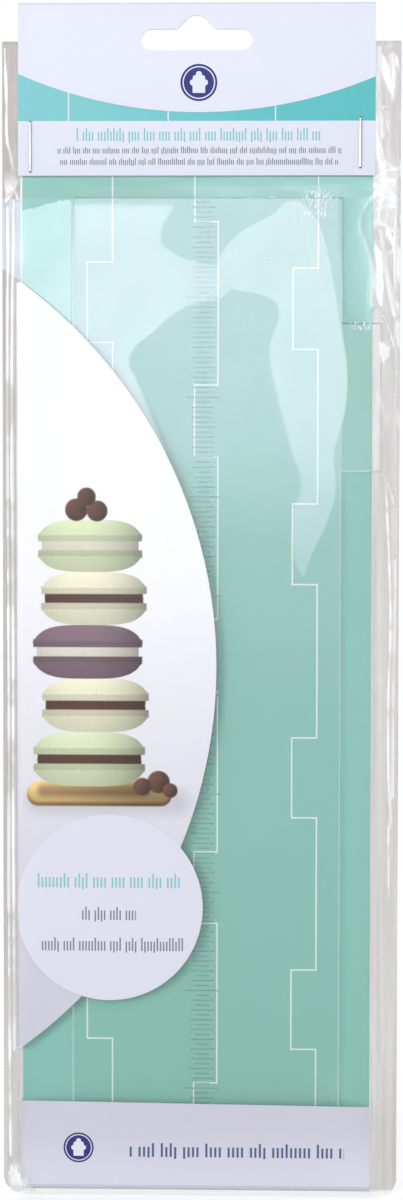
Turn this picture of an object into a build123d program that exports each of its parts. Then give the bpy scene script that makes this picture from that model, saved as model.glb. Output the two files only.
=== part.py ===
"""A clear icing smoother in its retail pack.

The moulded plate lies in a folded card wallet, inside a flat clear bag that a stapled header card closes.
X runs to the right across the front, Z runs up and the front of the pack faces -Y.
The origin is where a peg carries the pack: the top of the hang slot, level with the wallet's back face.
"""

import os
from math import cos, radians, sin, tan

from build123d import *

# Clear plate, in millimetres like every length here
plate_length = 254.0
plate_body_width = 68.9
plate_thickness = 2.0
plate_corner_radius = 0.6
plate_bevel = 0.5
tab_reach = 10.0
tab_corner_radius = 0.5
tab_root_radius = 0.3
right_tab_drop = 31.75
right_tab_height = 38.1
left_tab_drop = 57.15
left_tab_height = 38.1

# Ruler cut into the plate's front, counted from its top edge
fine_step = 1.27
tenth_step = 2.54
inch_step = 25.4
fine_mark_length = 3.8
tenth_mark_length = 6.1
inch_mark_length = 9.1
mark_width = 0.3
mark_depth = 0.12
ruler_inset = 33.4

# Card wallet: a back panel, a D-shaped flap folded in from the left and a band folded up from below
card_thickness = 0.4
plate_play = 0.1
wallet_side_gap = 2.9
tab_overhang = 2.3
crease_inset = 0.5
plate_foot_dip = 0.2
card_slot_gap = 1.5
side_flap_reach = 49.9
side_flap_top_gap = 21.6
flap_gap = 14.0
disc_radius = 24.0
disc_reach = 22.5
disc_rise = 36.3
bottom_flap_left_height = 21.7
bottom_flap_right_height = 20.7

# Header card: one board folded over the bag's mouth
header_height = 43.7
header_board = 0.35
header_overhang = 0.5
slot_to_fold = 3.2
slot_length = 28.4
slot_height = 5.4
hump_rise = 3.5
hump_radius = 3.4
hump_root_radius = 1.2
hump_flank_angle = 45.0
plate_header_gap = 5.6

# Clear bag
film_thickness = 0.06
mouth_drop = 6.5
slot_film_margin = 0.8
bag_left_margin = 3.6
bag_right_margin = 4.7
bag_foot_margin = 1.9
bag_corner_radius = 5.0
weld_width = 0.8
film_play = 2.1
film_edge_radius = 1.2
film_lean_angle = 25.0
shoulder_gap = 0.5
film_step_run = 2.0
shoulder_lap = 7.0

# Staples of wire with flats along it, set upright through every layer of the closed mouth
wire_diameter = 0.5
wire_flat_count = 8
wire_play = 0.05
wire_bend_play = 0.02
staple_crown = 12.6
staple_clinch = 4.2
left_staple_inset = 2.6
left_staple_rise = 1.0
right_staple_inset = 3.3
right_staple_rise = 2.0

# How far a cut runs past the face that it starts from
overrun = 1.0

# Depths, measured forwards from the wallet's back face
plate_depth = card_thickness + plate_play
flap_depth = plate_depth + plate_thickness + plate_play
flap_front_depth = flap_depth + card_thickness
fold_outer_radius = flap_front_depth / 2
fold_inner_radius = fold_outer_radius - card_thickness
film_depth = flap_front_depth + film_play
leaf_depth = card_thickness + film_thickness
leaf_front_depth = leaf_depth + header_board
leaf_back_depth = -(film_thickness + header_board)
wire_radius = wire_diameter / 2
leg_hole_radius = wire_radius + wire_play

# Places across the pack
plate_width = plate_body_width + 2 * tab_reach
card_width = plate_width + wallet_side_gap + crease_inset - tab_overhang
card_left = -card_width / 2
card_right = card_width / 2
crease_x = card_left + crease_inset
plate_centre_x = crease_x + wallet_side_gap + plate_width / 2
plate_body_left = plate_centre_x - plate_body_width / 2
plate_body_right = plate_centre_x + plate_body_width / 2
bag_left = crease_x - fold_outer_radius - bag_left_margin
bag_right = plate_body_right + tab_reach + bag_right_margin
header_left = card_left - header_overhang
header_width = card_width + 2 * header_overhang

# Heights, with the peg's seat at zero
header_foot = slot_to_fold - header_height
slot_foot = -hump_rise - slot_height
card_top = slot_foot - card_slot_gap
plate_top = header_foot - plate_header_gap
plate_foot = plate_top - plate_length
bottom_crease = plate_foot + plate_foot_dip
side_flap_top = plate_top - side_flap_top_gap
side_flap_foot = bottom_crease + bottom_flap_left_height + flap_gap
side_flap_chord = side_flap_top - side_flap_foot
bag_top = -mouth_drop
bag_foot = bottom_crease - fold_outer_radius - bag_foot_margin
shoulder_top = header_foot - shoulder_gap

os.makedirs("parts", exist_ok=True)


def front_plane(depth):
    """The plane at this depth in front of the wallet's back face, drawn on as it is seen."""
    return Plane.XZ.offset(depth)


def staple_places():
    """Each staple's name, its place across the pack and the height of its lower leg."""
    return (
        ("staple_left", card_left + left_staple_inset, header_foot + left_staple_rise),
        ("staple_right", card_right - right_staple_inset, header_foot + right_staple_rise),
    )


def leg_places():
    """The four spots where a staple's leg goes through the layers, seen from the front."""
    spots = []
    for name, x, foot in staple_places():
        spots.append((x, foot))
        spots.append((x, foot + staple_crown))
    return spots


# The plate's outline: a long body with one tab out of each long edge, each at its own height
with BuildSketch() as plate_outline:
    with Locations((plate_centre_x, plate_top)):
        Rectangle(plate_body_width, plate_length, align=(Align.CENTER, Align.MAX))
    fillet(plate_outline.vertices(), radius=plate_corner_radius)
    tab_width = plate_corner_radius + tab_reach
    with Locations((plate_body_right + tab_reach, plate_top - right_tab_drop)):
        Rectangle(tab_width, right_tab_height, align=(Align.MAX, Align.MAX))
    with Locations((plate_body_left - tab_reach, plate_top - left_tab_drop)):
        Rectangle(tab_width, left_tab_height, align=(Align.MIN, Align.MAX))
    by_side = plate_outline.vertices().group_by(Axis.X)
    fillet(by_side[0] + by_side[-1], radius=tab_corner_radius)
    tab_ends = [
        (plate_body_right, plate_top - right_tab_drop),
        (plate_body_right, plate_top - right_tab_drop - right_tab_height),
        (plate_body_left, plate_top - left_tab_drop),
        (plate_body_left, plate_top - left_tab_drop - left_tab_height),
    ]
    corners = plate_outline.vertices()
    tab_roots = [corners.sort_by_distance(Vector(x, y))[0] for x, y in tab_ends]
    fillet(tab_roots, radius=tab_root_radius)

# Clear plate: the outline with a bevelled front rim and a ruler sunk into its face
with BuildPart() as smoother:
    with BuildSketch(front_plane(plate_depth)):
        add(plate_outline.sketch)
    extrude(amount=plate_thickness)
    front_face = smoother.faces().sort_by(Axis.Y)[0]
    chamfer(front_face.outer_wire().edges(), length=plate_bevel)
    with BuildSketch(front_plane(plate_depth + plate_thickness)):
        for step, mark_length in (
            (fine_step, fine_mark_length),
            (tenth_step, tenth_mark_length),
            (inch_step, inch_mark_length),
        ):
            mark_count = round(plate_length / step) - 1
            ruler_middle = plate_top - step * (mark_count + 1) / 2
            with Locations((plate_body_left + ruler_inset, ruler_middle)):
                with GridLocations(mark_width, step, 1, mark_count):
                    Rectangle(mark_length, mark_width)
    extrude(amount=-mark_depth, mode=Mode.SUBTRACT)
smoother.part.label = "smoother"
export_step(smoother.part, "parts/smoother.step")

# Wallet's back panel, which ends in two round folds: the left one and the bottom one
with BuildPart() as wallet_back:
    with BuildSketch(front_plane(0)):
        with Locations((0, bottom_crease)):
            Rectangle(card_width, card_top - bottom_crease, align=(Align.CENTER, Align.MIN))
        with Locations((card_left, side_flap_foot)):
            Rectangle(
                crease_inset, side_flap_chord, align=(Align.MIN, Align.MIN), mode=Mode.SUBTRACT
            )
    extrude(amount=card_thickness)
    with BuildSketch(Plane.XY.offset(side_flap_foot)):
        with Locations((crease_x, -fold_outer_radius)):
            Circle(fold_outer_radius)
            Circle(fold_inner_radius, mode=Mode.SUBTRACT)
            Rectangle(
                fold_outer_radius,
                2 * fold_outer_radius,
                align=(Align.MAX, Align.CENTER),
                mode=Mode.INTERSECT,
            )
    extrude(amount=side_flap_chord)
    with BuildSketch(Plane.YZ.offset(card_left)):
        with Locations((-fold_outer_radius, bottom_crease)):
            Circle(fold_outer_radius)
            Circle(fold_inner_radius, mode=Mode.SUBTRACT)
            Rectangle(
                2 * fold_outer_radius,
                fold_outer_radius,
                align=(Align.CENTER, Align.MAX),
                mode=Mode.INTERSECT,
            )
    extrude(amount=card_width)
    with BuildSketch(front_plane(0)):
        with Locations(leg_places()):
            Circle(leg_hole_radius)
    extrude(amount=card_thickness, mode=Mode.SUBTRACT)
wallet_back.part.label = "wallet_back"
export_step(wallet_back.part, "parts/wallet_back.step")

# Side flap: a shallow D cut round a circular arc, with a disc as part of its outline
half_chord = side_flap_chord / 2
side_flap_radius = (half_chord**2 + side_flap_reach**2) / (2 * side_flap_reach)
with BuildPart() as wallet_side_flap:
    with BuildSketch(front_plane(flap_depth)):
        with Locations((crease_x + side_flap_reach - side_flap_radius, side_flap_foot + half_chord)):
            Circle(side_flap_radius)
        with Locations((crease_x + disc_reach, side_flap_foot + disc_rise)):
            Circle(disc_radius)
        with Locations((crease_x, side_flap_foot)):
            Rectangle(
                plate_width, side_flap_chord, align=(Align.MIN, Align.MIN), mode=Mode.INTERSECT
            )
    extrude(amount=card_thickness)
wallet_side_flap.part.label = "wallet_side_flap"
export_step(wallet_side_flap.part, "parts/wallet_side_flap.step")

# Bottom flap: a band across the foot of the plate, cut a little askew along its top
with BuildPart() as wallet_bottom_flap:
    with BuildSketch(front_plane(flap_depth)):
        with BuildLine():
            Polyline(
                (card_left, bottom_crease),
                (card_right, bottom_crease),
                (card_right, bottom_crease + bottom_flap_right_height),
                (card_left, bottom_crease + bottom_flap_left_height),
                close=True,
            )
        make_face()
    extrude(amount=card_thickness)
wallet_bottom_flap.part.label = "wallet_bottom_flap"
export_step(wallet_bottom_flap.part, "parts/wallet_bottom_flap.step")

# Hang slot: a long lobe with a round-topped hump that centres the peg
flank = radians(hump_flank_angle)
flank_x = hump_radius * sin(flank)
flank_z = hump_radius * (cos(flank) - 1)
hump_base = flank_x + (flank_z + hump_rise) / tan(flank)
lobe_middle = -hump_rise - slot_height / 2
with BuildSketch() as slot_outline:
    with Locations((0, lobe_middle)):
        SlotOverall(slot_length, slot_height)
    with BuildLine():
        Polyline((flank_x, flank_z), (hump_base, -hump_rise), (hump_base, lobe_middle))
        Line((hump_base, lobe_middle), (-hump_base, lobe_middle))
        Polyline((-hump_base, lobe_middle), (-hump_base, -hump_rise), (-flank_x, flank_z))
        ThreePointArc((-flank_x, flank_z), (0, 0), (flank_x, flank_z))
    make_face()
    hump_roots = [
        slot_outline.vertices().sort_by_distance(Vector(x, -hump_rise))[0]
        for x in (-hump_base, hump_base)
    ]
    fillet(hump_roots, radius=hump_root_radius)

# Header card: two leaves joined by a round fold over the bag's mouth
leaf_fold_radius = (leaf_front_depth - leaf_back_depth) / 2
leaf_fold_middle = -(leaf_front_depth + leaf_back_depth) / 2
leaf_length = header_height - leaf_fold_radius
with BuildPart() as header_card:
    with BuildSketch(Plane.YZ.offset(header_left)):
        with Locations((leaf_fold_middle, header_foot + leaf_length)):
            Circle(leaf_fold_radius)
            Rectangle(2 * leaf_fold_radius, leaf_length, align=(Align.CENTER, Align.MAX))
            Circle(leaf_fold_radius - header_board, mode=Mode.SUBTRACT)
            Rectangle(
                2 * (leaf_fold_radius - header_board),
                leaf_length,
                align=(Align.CENTER, Align.MAX),
                mode=Mode.SUBTRACT,
            )
    extrude(amount=header_width)
    with BuildSketch(front_plane(leaf_back_depth)):
        add(slot_outline.sketch)
        with Locations(leg_places()):
            Circle(leg_hole_radius)
    extrude(amount=leaf_front_depth - leaf_back_depth, mode=Mode.SUBTRACT)
header_card.part.label = "header_card"
export_step(header_card.part, "parts/header_card.step")

# Staples: upright crown in front, legs through every layer, ends turned in against the back leaf
crown_depth = leaf_front_depth + wire_radius + wire_bend_play
clinch_depth = leaf_back_depth - wire_radius - wire_bend_play
wire_bend_radius = wire_radius + wire_bend_play
for name, x, foot in staple_places():
    head = foot + staple_crown
    with BuildPart() as staple:
        with BuildLine() as wire:
            FilletPolyline(
                (x, -clinch_depth, foot + staple_clinch),
                (x, -clinch_depth, foot),
                (x, -crown_depth, foot),
                (x, -crown_depth, head),
                (x, -clinch_depth, head),
                (x, -clinch_depth, head - staple_clinch),
                radius=wire_bend_radius,
            )
        with BuildSketch(Plane(origin=wire.line @ 0, z_dir=wire.line % 0)):
            RegularPolygon(wire_radius, wire_flat_count)
        sweep()
    staple.part.label = name
    export_step(staple.part, "parts/" + name + ".step")


# The bag's flat outline: square at the mouth and rounded at its foot
with BuildSketch() as bag_outline:
    with Locations((bag_left, bag_foot)):
        Rectangle(bag_right - bag_left, bag_top - bag_foot, align=(Align.MIN, Align.MIN))
    foot_corners = bag_outline.vertices().group_by(Axis.Y)[0]
    fillet(foot_corners, radius=bag_corner_radius)


def filled_room(grow, top):
    """The room that the front film leaves for the wallet, grown outwards by the film for its outer face.

    Below the header it is a shallow pillow with leaning sides. Under the header it is only as deep as
    the card.
    """
    left = bag_left + weld_width - grow
    right = bag_right - weld_width + grow
    foot = bag_foot + weld_width - grow
    with BuildPart() as room:
        with BuildSketch(front_plane(0)):
            with Locations(((left + right) / 2, (foot + shoulder_top + grow) / 2)):
                RectangleRounded(right - left, shoulder_top + grow - foot, bag_corner_radius)
        extrude(amount=film_depth + grow, taper=film_lean_angle)
        front_edges = room.faces().sort_by(Axis.Y)[0].edges()
        fillet(front_edges, radius=film_edge_radius)
        with BuildSketch(Plane.XY.offset(top)):
            with BuildLine():
                Polyline(
                    (left, 0),
                    (left + film_step_run, -card_thickness - grow),
                    (right - film_step_run, -card_thickness - grow),
                    (right, 0),
                    close=True,
                )
            make_face()
        extrude(amount=top - shoulder_top + shoulder_lap, dir=(0, 0, -1))
    return room.part


outer_room = filled_room(film_thickness, bag_top)
inner_room = filled_room(0, bag_top + overrun)

# Front film: a flat welded rim that rises over the wallet, open at the mouth
with BuildPart() as bag_front:
    with BuildSketch(front_plane(0)):
        add(bag_outline.sketch)
    extrude(amount=film_thickness)
    add(outer_room)
    add(inner_room, mode=Mode.SUBTRACT)
    with BuildSketch(front_plane(0)):
        offset(slot_outline.sketch, amount=slot_film_margin)
        with Locations(leg_places()):
            Circle(leg_hole_radius)
    extrude(amount=leaf_front_depth, mode=Mode.SUBTRACT)
bag_front.part.label = "bag_front"
export_step(bag_front.part, "parts/bag_front.step")

# Back film: a flat sheet against the wallet's back
with BuildPart() as bag_back:
    with BuildSketch(front_plane(-film_thickness)):
        add(bag_outline.sketch)
        offset(slot_outline.sketch, amount=slot_film_margin, mode=Mode.SUBTRACT)
        with Locations(leg_places()):
            Circle(leg_hole_radius, mode=Mode.SUBTRACT)
    extrude(amount=film_thickness)
bag_back.part.label = "bag_back"
export_step(bag_back.part, "parts/bag_back.step")
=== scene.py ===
"""Dresses a packed icing smoother: clear film, printed card, a clear moulded plate and a plain studio.

The packed model is the fixed frame. Every operator below finishes one piece or one group of like pieces, and
one sets the studio. X runs to the right across the front, Z runs up and the front faces -Y. Settings, meshes and
lamps are in metres. Places and sizes in the finishes, and of the film's sheets before they are built, are in
millimetres.
"""

import math

import bmesh
import bpy
import numpy as np
from bpy.props import FloatProperty, FloatVectorProperty, IntProperty, PointerProperty
from mathutils import Matrix, Vector


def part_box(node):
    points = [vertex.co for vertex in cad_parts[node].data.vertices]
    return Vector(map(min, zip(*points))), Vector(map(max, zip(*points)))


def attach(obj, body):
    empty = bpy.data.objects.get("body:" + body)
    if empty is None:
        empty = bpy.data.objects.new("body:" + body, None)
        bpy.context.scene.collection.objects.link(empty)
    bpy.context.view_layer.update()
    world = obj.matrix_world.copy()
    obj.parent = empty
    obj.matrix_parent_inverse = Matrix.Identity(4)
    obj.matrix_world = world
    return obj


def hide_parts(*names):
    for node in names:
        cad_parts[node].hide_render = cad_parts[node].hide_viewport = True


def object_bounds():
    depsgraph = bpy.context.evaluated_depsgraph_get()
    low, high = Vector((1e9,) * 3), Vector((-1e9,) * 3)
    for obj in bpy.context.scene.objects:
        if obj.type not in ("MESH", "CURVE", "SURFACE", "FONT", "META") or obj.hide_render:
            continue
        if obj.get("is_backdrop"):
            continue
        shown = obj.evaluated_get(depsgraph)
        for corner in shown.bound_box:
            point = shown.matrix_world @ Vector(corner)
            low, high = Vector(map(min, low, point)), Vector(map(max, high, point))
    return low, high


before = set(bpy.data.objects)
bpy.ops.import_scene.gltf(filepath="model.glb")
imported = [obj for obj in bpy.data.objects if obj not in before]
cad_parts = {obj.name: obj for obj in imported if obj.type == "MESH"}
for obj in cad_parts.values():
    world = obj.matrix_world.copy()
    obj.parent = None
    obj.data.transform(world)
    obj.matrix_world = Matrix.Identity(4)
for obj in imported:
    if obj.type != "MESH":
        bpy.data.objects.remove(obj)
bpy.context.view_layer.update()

bl_info = {
    "name": "Smoother Pack",
    "version": (1, 0, 0),
    "blender": (4, 5, 0),
    "location": "3D View > Sidebar > Smoother Pack",
    "description": "Finishes a packed icing smoother and sets its studio",
    "category": "Object",
}

MM = 0.001


def box_mm(node):
    """A node's left, right, foot, top, front and back, in millimetres. Front and back are y."""
    low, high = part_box(node)
    low, high = low / MM, high / MM
    return {
        "left": low.x, "right": high.x, "foot": low.z, "top": high.z, "front": low.y, "back": high.y,
    }


BAG = box_mm("bag_front")
CARD = box_mm("wallet_back")
PLATE = box_mm("smoother")
SIDE_FLAP = box_mm("wallet_side_flap")
BOTTOM_FLAP = box_mm("wallet_bottom_flap")
HEADER = box_mm("header_card")

FILM_MM = 0.06
CARD_MM = 0.4
CREASE_X = SIDE_FLAP["left"]
CREASE_Z = BOTTOM_FLAP["foot"]
CARD_SIDE = BOTTOM_FLAP["right"]
PLATE_LEFT, PLATE_RIGHT = -31.6, 37.3
RULER_X, MARK_STEP, FINE_HALF = 1.8, 1.27, 1.9
DISC_X, DISC_Z, DISC_RADIUS = -22.0, -227.9, 24.0
FLAP_HALF = (SIDE_FLAP["top"] - SIDE_FLAP["foot"]) / 2
FLAP_REACH = SIDE_FLAP["right"] - CREASE_X
FLAP_RADIUS = (FLAP_HALF**2 + FLAP_REACH**2) / (2 * FLAP_REACH)
FLAP_CENTRE_X = SIDE_FLAP["right"] - FLAP_RADIUS
FLAP_CENTRE_Z = SIDE_FLAP["foot"] + FLAP_HALF


# Sizes and colours that a user may change


def colour_property(name, description, default):
    return FloatVectorProperty(
        name=name, description=description, subtype="COLOR", size=3, min=0, max=1, default=default
    )


def length_property(name, description, default):
    return FloatProperty(
        name=name, description=description, default=default, min=0, unit="LENGTH", subtype="DISTANCE"
    )


def share_property(name, description, default):
    return FloatProperty(name=name, description=description, default=default, min=0, max=1, subtype="FACTOR")


class FilmSettings(bpy.types.PropertyGroup):
    """Clear bag film."""

    fold_height: length_property("Fold height", "How far a main fold stands out of the film", 0.8 * MM)
    fold_width: length_property("Fold width", "Half the width of a main fold", 1.6 * MM)
    crease_height: length_property("Crease height", "How far a fine crease stands out", 0.3 * MM)
    crease_width: length_property("Crease width", "Half the width of a fine crease", 0.7 * MM)
    ripple_height: length_property("Ripple height", "Depth of the film's slow waves", 0.35 * MM)
    ripple_size: length_property("Ripple size", "Distance from one slow wave to the next", 22 * MM)
    crumple_height: length_property("Crumple height", "Height of the ridges between crumpled facets", 1.1 * MM)
    crumple_size: length_property("Crumple size", "Size of one crumpled facet", 4.2 * MM)
    seed: IntProperty(name="Seed", description="Which pattern of waves and facets", default=4, min=0)
    # Painted reflection over the upper plate: how solid its pale tint is
    haze_and_painted_reflection: share_property("Haze", "How solid the film looks where it is hazy", 0.50)
    # Real gloss of the film where it carries the painted reflection
    reflection_gloss: FloatProperty(
        name="Haze gloss", description="How strongly the film mirrors the lamp where it is milky", default=2.4, min=0
    )
    body: share_property("Body", "How solid the film is everywhere", 0.02)
    # Painted reflection on the card beside and above the plate: how solid its pale tint is
    card_reflection: share_property("Bloom", "How solid the film looks where it is pressed on the card", 0.65)
    # Tints of the two painted reflections
    plate_reflection_colour: colour_property("Haze colour", "Tint of the haze over the plate", (0.62, 0.76, 1.0))
    card_reflection_colour: colour_property("Bloom colour", "Tint of the film pressed on the card", (0.75, 0.98, 1.0))
    # Painted highlights on the folds and crumpled facets, where sharp creases also whiten
    glint_colour: colour_property("Glint colour", "Colour of folds and crumpled facets", (0.97, 0.98, 1.0))
    # Painted shade of the film beside the card and beside its folds
    margin_shade_colour: colour_property("Dull colour", "Colour of the doubled film beside the card", (0.38, 0.35, 0.34))


class PrintSettings(bpy.types.PropertyGroup):
    """Inks and card."""

    mint: colour_property("Mint", "Ink of the insert at its foot", (0.25, 0.545, 0.462))
    mint_top: colour_property("Mint at the top", "Ink of the insert at its top", (0.295, 0.572, 0.515))
    sea: colour_property("Band, left", "Ink of the header's band at its left end", (0.22, 0.58, 0.62))
    sea_deep: colour_property("Band, right", "Ink of the header's band at its right end", (0.11, 0.51, 0.54))
    navy: colour_property("Navy", "Ink of the badges and the foot's words", (0.025, 0.035, 0.20))
    grey_ink: colour_property("Grey ink", "Ink of the small words", (0.07, 0.075, 0.095))
    header_white: colour_property("Header white", "Ground of the header card", (0.765, 0.785, 0.90))
    flap_white: colour_property("Flap white", "Ground of the side flap at its top", (0.93, 0.935, 0.975))
    flap_grey: colour_property("Flap grey", "Ground of both flaps at the foot", (0.625, 0.625, 0.725))
    board: colour_property("Board", "Bare board on the backs and in the cut edges", (0.78, 0.78, 0.76))


class PlateSettings(bpy.types.PropertyGroup):
    """Clear moulded plate."""

    face_body: share_property("Face", "How solid the flat faces look", 0.012)
    edge_body: share_property("Edge", "How solid the rim looks", 0.5)
    mark_body: share_property("Marks", "How solid the ruler's sunk marks look", 0.45)
    # Painted highlight and painted shade of the rim
    edge_highlight: colour_property("Bright edge", "Rim that passes light on", (0.92, 0.99, 0.98))
    edge_shade: colour_property("Dim edge", "Rim that turns light away", (0.42, 0.58, 0.55))
    # Painted shade along the plate's top rim
    top_edge_shade: colour_property("Top edge", "Rim along the plate's top", (0.20, 0.34, 0.33))
    # Painted shade in the ruler's sunk marks
    mark_shade_colour: colour_property("Mark", "Floor of a ruler mark", (0.15, 0.26, 0.26))


class StudioSettings(bpy.types.PropertyGroup):
    """Lamps, room and floor."""

    key_power: FloatProperty(name="Key lamp", description="Large lamp from the upper left", default=6.0, unit="POWER")
    front_power: FloatProperty(
        name="Front lamp", description="Small lamp that the film mirrors", default=3.83, unit="POWER"
    )
    back_power: FloatProperty(name="Back lamp", description="Lamp behind the pack", default=8.0, unit="POWER")
    room_light: share_property("Room", "Strength of the light from all round", 0.50)
    floor_size: length_property("Floor size", "Width of the floor", 8.0)
    floor_colour: colour_property("Floor", "Colour of the floor", (0.88, 0.88, 0.885))


# Wiring of node trees


class Wiring:
    """Adds nodes to one tree and joins them. A value is a number, a colour or another node's output."""

    def __init__(self, tree):
        self.tree = tree

    def node(self, kind, **settings):
        made = self.tree.nodes.new(kind)
        for name, value in settings.items():
            setattr(made, name, value)
        return made

    def feed(self, socket, value):
        if isinstance(value, bpy.types.NodeSocket):
            self.tree.links.new(value, socket)
        elif socket.type == "RGBA" and len(value) == 3:
            socket.default_value = (*value, 1)
        else:
            socket.default_value = value

    def fill(self, made, values):
        for label, value in values.items():
            self.feed(made.inputs[label], value)
        return made

    def math(self, operation, *values, clamp=False):
        made = self.node("ShaderNodeMath", operation=operation, use_clamp=clamp)
        for socket, value in zip(made.inputs, values):
            self.feed(socket, value)
        return made.outputs[0]

    def product(self, first, *others):
        for other in others:
            first = self.math("MULTIPLY", first, other)
        return first

    def either(self, first, *others):
        for other in others:
            first = self.math("MAXIMUM", first, other)
        return first

    def plus(self, first, second):
        return self.math("ADD", first, second)

    def minus(self, first, second):
        return self.math("SUBTRACT", first, second)

    def over(self, first, second):
        return self.math("DIVIDE", first, second)

    def size(self, value):
        return self.math("ABSOLUTE", value)

    def length(self, first, second):
        """The length of a line that runs first one way and second the other."""
        return self.math("SQRT", self.plus(self.product(first, first), self.product(second, second)))

    def vector(self, operation, first, second):
        made = self.node("ShaderNodeVectorMath", operation=operation)
        self.feed(made.inputs[0], first)
        self.feed(made.inputs["Scale" if operation == "SCALE" else 1], second)
        return made.outputs[0]

    def parts(self, vector):
        split = self.node("ShaderNodeSeparateXYZ")
        self.feed(split.inputs[0], vector)
        return split.outputs["X"], split.outputs["Y"], split.outputs["Z"]

    def lay(self, look, share, tint, solid):
        """Lays a mark over a look, which is a colour and a body: share is where it tints, solid its own body."""
        colour, body = look
        return self.blend(share, colour, tint), self.either(body, solid)

    def rest(self, share):
        return self.math("SUBTRACT", 1.0, share, clamp=True)

    def ramp(self, value, low, high, at_low=0.0, at_high=1.0, smooth=True):
        made = self.node("ShaderNodeMapRange", interpolation_type="SMOOTHSTEP" if smooth else "LINEAR")
        self.fill(
            made, {"Value": value, "From Min": low, "From Max": high, "To Min": at_low, "To Max": at_high}
        )
        return made.outputs[0]

    def fall(self, value, low, high):
        """1 up to low, falling softly to 0 at high."""
        return self.ramp(value, low, high, 1.0, 0.0)

    def past(self, value, edge, soft):
        """1 past an edge, which changes softly over this distance to each side."""
        return self.ramp(value, edge - soft, edge + soft)

    def short_of(self, value, edge, soft):
        return self.fall(value, edge - soft, edge + soft)

    def between(self, value, low, high, edge=0.02):
        """1 where value lies between low and high."""
        return self.product(self.past(self.minus(value, low), 0, edge), self.past(self.minus(high, value), 0, edge))

    def blend(self, share, under, over):
        made = self.node("ShaderNodeMix", data_type="RGBA")
        sockets = {socket.identifier: socket for socket in made.inputs}
        for label, value in (("Factor_Float", share), ("A_Color", under), ("B_Color", over)):
            self.feed(sockets[label], value)
        return {socket.identifier: socket for socket in made.outputs}["Result_Color"]

    def mix_shaders(self, share, under, over):
        made = self.node("ShaderNodeMixShader")
        for socket, value in zip(made.inputs, (share, under.outputs[0], over.outputs[0])):
            self.feed(socket, value)
        return made

    def shade(self, colour, factor):
        """A colour made lighter or darker by a factor."""
        return self.vector("SCALE", colour, factor)

    def use(self, group, **values):
        """Places a shader node group. Its inputs are named with underscores for spaces."""
        made = self.node("ShaderNodeGroup", node_tree=bpy.data.node_groups[group])
        for label, value in values.items():
            self.feed(made.inputs[label.replace("_", " ")], value)
        return made.outputs

    def patch(self, x, z, half_width, half_height, corner=None, edge=0.05):
        """A printed patch. Without a corner it ends in half rounds."""
        corner = half_height if corner is None else corner
        return self.use(
            "Printed patch", Centre_X=x, Centre_Z=z, Half_Width=half_width, Half_Height=half_height, Corner=corner,
            Edge=edge,
        )

    def place_mm(self):
        """The point's x, y and z on the pack, in millimetres."""
        return self.parts(self.vector("SCALE", self.node("ShaderNodeTexCoord").outputs["Object"], 1 / MM))

    def spot_mm(self, stretch):
        """The point as a vector in millimetres, stretched for a pattern that runs one way."""
        coordinates = self.node("ShaderNodeTexCoord").outputs["Object"]
        return self.vector("MULTIPLY", coordinates, tuple(part / MM for part in stretch))

    def noise(self, spot, scale, detail=2.0, roughness=0.5):
        made = self.node("ShaderNodeTexNoise")
        self.fill(made, {"Vector": spot, "Scale": scale, "Detail": detail, "Roughness": roughness})
        return made.outputs[0]

    def grain(self, scale, detail=2.0, roughness=0.5, stretch=(1, 1, 1)):
        """Noise over the pack, in which a scale of 1 gives spots about a millimetre wide."""
        return self.noise(self.spot_mm(stretch), scale, detail, roughness)

    def strokes(self, x, z, lean, width, length):
        """Noise drawn out along leaning lines: x moves by lean for each step up. Sizes are millimetres."""
        spot = self.node("ShaderNodeCombineXYZ")
        self.feed(spot.inputs["X"], self.over(self.minus(x, self.product(z, lean)), width))
        self.feed(spot.inputs["Z"], self.over(self.plus(z, self.product(x, lean)), length))
        return self.noise(spot.outputs[0], 1.0, 1.0)

    def seen(self):
        """1 for what the camera sees, straight, mirrored or through something."""
        path = self.node("ShaderNodeLightPath").outputs
        return self.either(path["Is Camera Ray"], path["Is Glossy Ray"], path["Is Transmission Ray"])

    def attribute(self, name):
        return self.node("ShaderNodeAttribute", attribute_name=name).outputs["Fac"]

    def facing(self):
        """The x, y and z of the way a face points."""
        return self.parts(self.node("ShaderNodeNewGeometry").outputs["True Normal"])

    def bump(self, height, distance, strength=1.0, flat=False):
        """A normal roughened by a height. flat starts from each face and not from the smoothed surface."""
        made = self.node("ShaderNodeBump")
        self.fill(made, {"Height": height, "Distance": distance, "Strength": strength})
        if flat:
            self.feed(made.inputs["Normal"], self.node("ShaderNodeNewGeometry").outputs["True Normal"])
        return made.outputs[0]

    def curve(self, value, low, high, points, lowest, highest):
        """A line drawn through points: how far across it lies at each height. points are (height, across)."""
        made = self.node("ShaderNodeFloatCurve")
        line = made.mapping.curves[0]
        spots = [((z - low) / (high - low), (x - lowest) / (highest - lowest)) for z, x in points]
        spots.sort()
        line.points[0].location = spots[0]
        line.points[1].location = spots[-1]
        for spot in spots[1:-1]:
            line.points.new(*spot)
        made.mapping.update()
        self.feed(made.inputs["Value"], self.ramp(value, low, high, smooth=False))
        return self.ramp(made.outputs[0], 0.0, 1.0, lowest, highest, smooth=False)


def shader_group(name, inputs, outputs):
    """A new shader node group with these float inputs, given as (label, default), and these outputs."""
    tree = bpy.data.node_groups.new(name, "ShaderNodeTree")
    for label, default in inputs:
        socket = tree.interface.new_socket(label, in_out="INPUT", socket_type="NodeSocketFloat")
        socket.default_value = default
    for label in outputs:
        tree.interface.new_socket(label, in_out="OUTPUT", socket_type="NodeSocketFloat")
    wiring = Wiring(tree)
    return wiring, wiring.node("NodeGroupInput").outputs, wiring.node("NodeGroupOutput").inputs


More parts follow.
